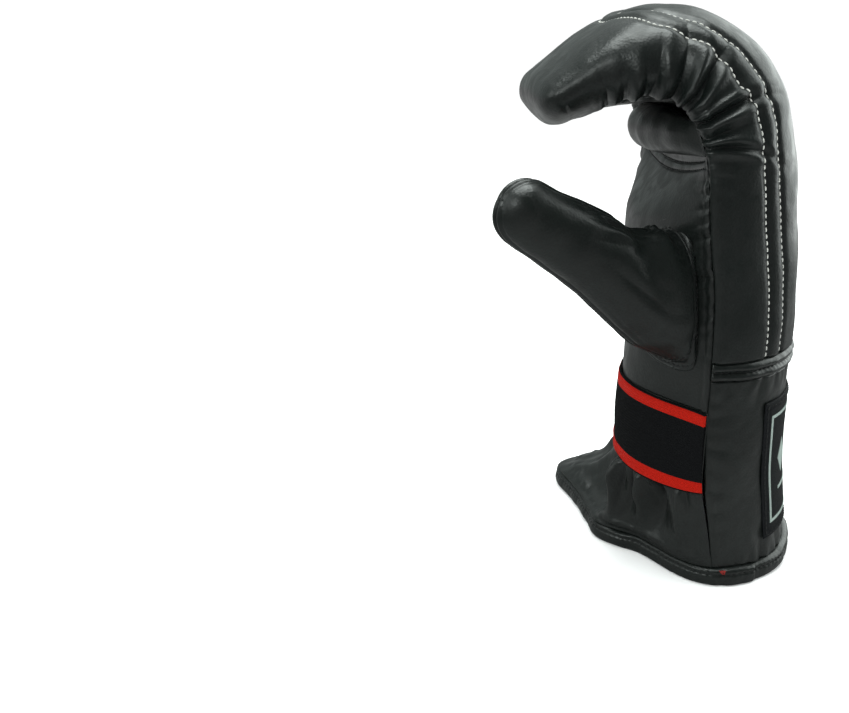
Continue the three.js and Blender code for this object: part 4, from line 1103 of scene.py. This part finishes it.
hem_piece = add_mesh("hem_binding_leather", rings, ring_faces(BINDING_PATH, 30, joined=True))
hem_piece.data.materials.append(trim_look)
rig.replaces(hem_piece, "hem_binding")
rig.slot(hem_piece, "trim_leather")
doubled = cut_size(rings)
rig.sheet(hem_piece, flat=(doubled["area"] / 2 / doubled["flat"][1], doubled["flat"][1]), held="folded")

# Label
# A woven label on the back of the cuff, sewn on round its edge: black with a pale frame, and in the frame a row
# of plain lozenges over a line.
LABEL_WIDTH = 98.0
LABEL_HEIGHT = 68.0
LABEL_BOTTOM = 18.5
LABEL_SHIFT = 10.0
LABEL_LIFT = 1.15
label_z = np.linspace(LABEL_BOTTOM, LABEL_BOTTOM + LABEL_HEIGHT, 110)
label_s = np.linspace(-LABEL_WIDTH / 2 - LABEL_SHIFT, LABEL_WIDTH / 2 - LABEL_SHIFT, 160)
label_rows = row_at_height(label_z)
sweep = np.linspace(-90, 90, 361)
swept = run_length(skin_point(label_rows[:, None], sweep[None]), 1)
label_angles = np.stack([np.interp(label_s, run - run[180], sweep) for run in swept])
label_flat = skin_point(label_rows[:, None], label_angles)
label_up = grid_normals(label_flat)
z_off = np.minimum(label_z - label_z[0], label_z[-1] - label_z)[:, None]
s_off = np.minimum(label_s - label_s[0], label_s[-1] - label_s)[None]
rim = np.minimum(z_off, s_off)
label_relief = LABEL_LIFT + 0.3 * wave_noise(label_flat, 60, 41, 2) - 0.5 * np.exp(-((rim / 0.5) ** 2))
label_relief += 0.2 * np.exp(-(((rim - 1.6) / 0.9) ** 2)) - 0.3 * np.exp(-(((rim - 3) / 0.6) ** 2))
label_skin = label_flat + label_up * label_relief[..., None]
label_cut = np.stack(np.broadcast_arrays(label_s[None], label_z[:, None]), -1)
label_under = (label_flat + label_up * 0.3)[:, ::4]
label_patch = layered("label_cloth", label_skin, label_under, label_cut)
label_patch.data.materials.append(woven("label_weave", (0.008, 0.009, 0.01), 5200.0, 5200.0, 0.6))
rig.replaces(label_patch, "label_patch")
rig.slot(label_patch, "woven_label")


def on_label(s, z, lift):
    """Points above the label at lengths s across it and heights z."""
    i = (z.ravel() - label_z[0]) / (label_z[1] - label_z[0])
    j = (s.ravel() - label_s[0]) / (label_s[1] - label_s[0])
    return (on_grid(label_skin, i, j) + lift * on_grid(label_up, i, j)).reshape(*s.shape, 3)


def woven_mark(name, corners, rows, columns):
    """A raised woven shape on the label between four corners (s, z): low left, low right, top right, top left."""
    p, q = np.meshgrid(np.linspace(0, 1, columns), np.linspace(0, 1, rows))
    weights = ((1 - p) * (1 - q), p * (1 - q), p * q, (1 - p) * q)
    s, z = (sum(w * c[k] for w, c in zip(weights, corners)) for k in (0, 1))
    cut = np.stack([s, z], -1)
    mark = layered(name, on_label(s, z, 0.16), on_label(s, z, -0.15), cut)
    mark.data.materials.append(pale_weave)
    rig.slot(mark, "woven_label")
    return mark


pale_weave = woven("pale_weave", (0.24, 0.29, 0.27), 5200.0, 5200.0, 0.75)
FRAME_SIDE = 5.0
FRAME_END = 7.0
FRAME_WIDTH = 1.5
left, right = label_s[0] + FRAME_SIDE, label_s[-1] - FRAME_SIDE
low, high = label_z[0] + FRAME_END, label_z[-1] - FRAME_END
middle = (left + right) / 2
marks = []
for name, box in (
    ("frame_low", (left, low, right, low + FRAME_WIDTH)),
    ("frame_top", (left, high - FRAME_WIDTH, right, high)),
    ("frame_left", (left, low + FRAME_WIDTH, left + FRAME_WIDTH, high - FRAME_WIDTH)),
    ("frame_right", (right - FRAME_WIDTH, low + FRAME_WIDTH, right, high - FRAME_WIDTH)),
    ("underline", (middle - 34, low + 14, middle + 34, low + 15.6)),
):
    corners = ((box[0], box[1]), (box[2], box[1]), (box[2], box[3]), (box[0], box[3]))
    tall = box[3] - box[1] > box[2] - box[0]
    marks.append(woven_mark(name, corners, 90 if tall else 4, 4 if tall else 120))
for k in range(5):
    s, z = middle + (k - 2) * 14.2, low + 30
    corners = ((s, z - 9), (s + 6, z), (s, z + 9), (s - 6, z))
    marks.append(woven_mark(f"lozenge_{k + 1}", corners, 14, 14))
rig.sheet(label_patch, flat=(LABEL_WIDTH / 1000, LABEL_HEIGHT / 1000), held="laid", with_pieces=marks)

# Size tag
# A short black tape folded double and caught in the little-finger side seam of the cuff.
TAG_HEIGHT = 15.0
TAG_REACH = 7.0
TAG_THICKNESS = 1.2
TAG_BOTTOM = 48.0
# one side of the fold, with what the seam hides
TAG_CUT = 10.0
tag_box = (np.array(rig.box("size_tag")) * 1000) - ORIGIN
tag_low, tag_high = tag_box
loop_turn = np.linspace(0, 2 * np.pi, 37)[:-1]
tag_y = np.clip(1.02 * np.cos(loop_turn), -1, 1) * TAG_REACH / 2 + (tag_low[1] + tag_high[1]) / 2
tag_x = np.sign(np.sin(loop_turn)) * np.abs(np.sin(loop_turn)) ** 0.35 * TAG_THICKNESS / 2
tag_z = np.linspace(TAG_BOTTOM, TAG_BOTTOM + TAG_HEIGHT, 20)[:, None]
curl = 0.35 * np.sin((tag_z - TAG_BOTTOM) / TAG_HEIGHT * np.pi) * (tag_y - tag_low[1]) / TAG_REACH
tag = np.stack(np.broadcast_arrays(tag_x + curl + (tag_low[0] + tag_high[0]) / 2, tag_y + 0 * tag_z, tag_z), -1)
tag_cut = np.stack(np.broadcast_arrays(tag_y[None], tag_z), -1)
size_tag = add_mesh("tag_tape", tag, ring_faces(20, 36), tag_cut)
size_tag.data.materials.append(woven("tag_weave", (0.012, 0.0125, 0.014), 5200.0, 5200.0, 0.6))
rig.replaces(size_tag, "size_tag")
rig.slot(size_tag, "woven_label")
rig.sheet(size_tag, flat=(TAG_CUT / 1000, TAG_HEIGHT / 1000), held="folded")

# Black stitches
# Thin black thread: two rows round the thumb's flange, one in the piping's groove, one round the label, one
# round the binding and two under the grip roll.
black_rows = {}
for k, row in enumerate((5, 12)):
    black_rows[f"flange_stitches_{k + 1}"] = (np.concatenate([thumb_skin[row], thumb_skin[row, :1]]), np.concatenate([thumb_up[row], thumb_up[row, :1]]), "thumb_leather")
black_rows["piping_stitches"] = (pipe_skin[20], pipe_up[20], "trim_leather")
rim_s = np.concatenate([label_s[2:-2], np.full(106, label_s[-3]), label_s[2:-2][::-1], np.full(106, label_s[2])])
rim_z = np.concatenate([np.full(156, label_z[3]), label_z[2:-2], np.full(156, label_z[-4]), label_z[2:-2][::-1]])
rim_path = on_label(rim_s, rim_z, 0.0)
rim_i = (rim_z - label_z[0]) / (label_z[1] - label_z[0])
rim_j = (rim_s - label_s[0]) / (label_s[1] - label_s[0])
black_rows["label_stitches"] = (rim_path, on_grid(label_up, rim_i, rim_j), "woven_label")
black_rows["binding_stitches"] = (rings[:, 10], outward, "trim_leather")
for k, groove in enumerate((-1.2, -4.2)):
    i = np.interp(ROLL_ROW + (groove - ROLL_WIDTH / 2) / roll_climb[0], palm_rows, np.arange(len(palm_rows)))[6:-6]
    j = np.arange(6.0, 164.0)
    black_rows[f"roll_stitches_{k + 1}"] = (on_grid(palm_skin, i, j), on_grid(palm_up, i, j), "palm_leather")
for name, (points, normals, slot) in black_rows.items():
    centre, along, up = along_path(points, normals, 2.6)
    piece = sewn(name, centre + 0.1 * up, along, up, 2.0, 0.55, 0.4)
    piece.data.materials.append(black_thread)
    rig.slot(piece, slot)

# Red thread
# A few loose loops of red thread that show at the hem by the thumb-side seam.
i0 = int(np.argmin(np.abs(at - 3)))
knot = rings[i0, 12] + outward[i0] * 0.4 + (0, 0, 0.4)
spots = knot + np.array([(0.5, 0, 0.2), (-0.6, 0, 0.1), (0, 0, 0.7), (0.9, 0, -0.3), (-0.2, 0, -0.5)])
ways = np.array([(1, 0, 0.3), (0.8, 0, -0.6), (1, 0, 0.1), (0.2, 0, 1), (-0.7, 0, 0.7)])
ways /= np.linalg.norm(ways, axis=1, keepdims=True)
front = np.tile((0.0, -1.0, 0.0), (5, 1))
red_loops = sewn("red_loops", spots, ways, front, 2.4, 0.6, 0.6)
red_loops.data.materials.append(thread("red_thread", RED))
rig.slot(red_loops, "trim_leather")

# Light, floor and camera
# A pale studio sweep under a white sky, with large soft lights, as goods are photographed for a catalogue. In
# reflections the sweep and the sky are dim, as the dark room round a small white sweep is.
bpy.ops.mesh.primitive_plane_add(size=60, location=(0, 0, 0))
floor = bpy.context.object
floor.name = "studio_floor"
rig.stage(floor)


def dim_reflections(tree, bright, dim):
    """Joins two shaders: the bright one everywhere, and the dim one in reflections."""
    ray = node(tree, "ShaderNodeLightPath")
    mix = node(tree, "ShaderNodeMixShader")
    tree.links.new(ray.outputs["Is Glossy Ray"], mix.inputs[0])
    tree.links.new(bright.outputs[0], mix.inputs[1])
    tree.links.new(dim.outputs[0], mix.inputs[2])
    return mix


paper = bpy.data.materials.new("studio_paper")
paper.use_nodes = True
tree = paper.node_tree
pale = tree.nodes["Principled BSDF"]
pale.inputs["Base Color"].default_value = (0.98, 0.99, 0.99, 1)
pale.inputs["Roughness"].default_value = 1.0
pale.inputs["Specular IOR Level"].default_value = 0.0
# in reflections the sweep is pale near the glove and far behind it, and dark towards the camera
dark = node(tree, "ShaderNodeBsdfDiffuse")
place = node(tree, "ShaderNodeTexCoord")
parts = tree.nodes.new("ShaderNodeSeparateXYZ")
away = node(tree, "ShaderNodeVectorMath", operation="LENGTH")
near = node(tree, "ShaderNodeMapRange", in_From_Min=0.1, in_From_Max=0.55, in_To_Min=0.2, in_To_Max=0.05)
behind = node(tree, "ShaderNodeMapRange", in_From_Min=0.1, in_From_Max=0.9, in_To_Min=0.0, in_To_Max=0.3)
pale_share = node(tree, "ShaderNodeMath", operation="ADD", use_clamp=True)
tree.links.new(place.outputs["Object"], away.inputs[0])
tree.links.new(place.outputs["Object"], parts.inputs[0])
tree.links.new(away.outputs["Value"], near.inputs["Value"])
tree.links.new(parts.outputs["Y"], behind.inputs["Value"])
tree.links.new(near.outputs["Result"], pale_share.inputs[0])
tree.links.new(behind.outputs["Result"], pale_share.inputs[1])
tree.links.new(pale_share.outputs[0], dark.inputs["Color"])
end = tree.nodes["Material Output"]
tree.links.new(dim_reflections(tree, pale, dark).outputs[0], end.inputs["Surface"])
floor.data.materials.append(paper)

world = bpy.data.worlds.new("studio")
world.use_nodes = True
tree = world.node_tree
white = tree.nodes["Background"]
white.inputs["Color"].default_value = (1, 1, 1, 1)
white.inputs["Strength"].default_value = 1.04
shade = node(tree, "ShaderNodeBackground", in_Color=(0.9, 1, 0.97, 1))
place = node(tree, "ShaderNodeTexCoord")
parts = tree.nodes.new("ShaderNodeSeparateXYZ")
behind = node(tree, "ShaderNodeMapRange", in_From_Min=0.0, in_From_Max=0.9, in_To_Min=0.05, in_To_Max=0.4)
tree.links.new(place.outputs["Generated"], parts.inputs[0])
tree.links.new(parts.outputs["Y"], behind.inputs["Value"])
tree.links.new(behind.outputs["Result"], shade.inputs["Strength"])
end = tree.nodes["World Output"]
tree.links.new(dim_reflections(tree, white, shade).outputs[0], end.inputs["Surface"])
bpy.context.scene.world = world
bpy.context.scene.view_settings.view_transform = "Standard"


def soft_light(name, place, target, size, power):
    """A square soft box that faces a point."""
    data = bpy.data.lights.new(name, "AREA")
    data.size = size
    data.energy = power
    data.color = (0.93, 1.0, 0.97)
    light = bpy.data.objects.new(name, data)
    bpy.context.scene.collection.objects.link(light)
    light.location = place
    away = np.array(place) - target
    flat = np.hypot(away[0], away[1])
    light.rotation_euler = (np.arctan2(flat, away[2]), 0, np.arctan2(away[1], away[0]) + np.pi / 2)
    return light


MIDDLE = (0.0, 0.0, 0.13)
soft_light("top", (-0.1, 0.15, 1.3), MIDDLE, 0.9, 16)
soft_light("left", (-1.2, -0.1, 0.75), MIDDLE, 0.8, 3.2)
soft_light("right_back", (0.95, 0.55, 0.55), MIDDLE, 1.4, 13)
soft_light("front", (-0.9, -1.05, 0.95), MIDDLE, 0.5, 5)

CAMERA_PLACE = (-134.0, -421.0, 235.0)
CAMERA_PITCH = 18.9
lens = bpy.data.cameras.new("camera")
lens.lens = 38
lens.sensor_width = 36
camera = bpy.data.objects.new("camera", lens)
bpy.context.scene.collection.objects.link(camera)
camera.location = (np.array(CAMERA_PLACE) + ORIGIN) * 0.001
camera.rotation_euler = (np.radians(90 - CAMERA_PITCH), 0, 0)
bpy.context.scene.camera = camera

sizes = {"cad": np.array(cad_box).tolist(), "visual": np.array(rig.bounds()).tolist()}
with open("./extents.json", "w") as out:
    json.dump(sizes, out)
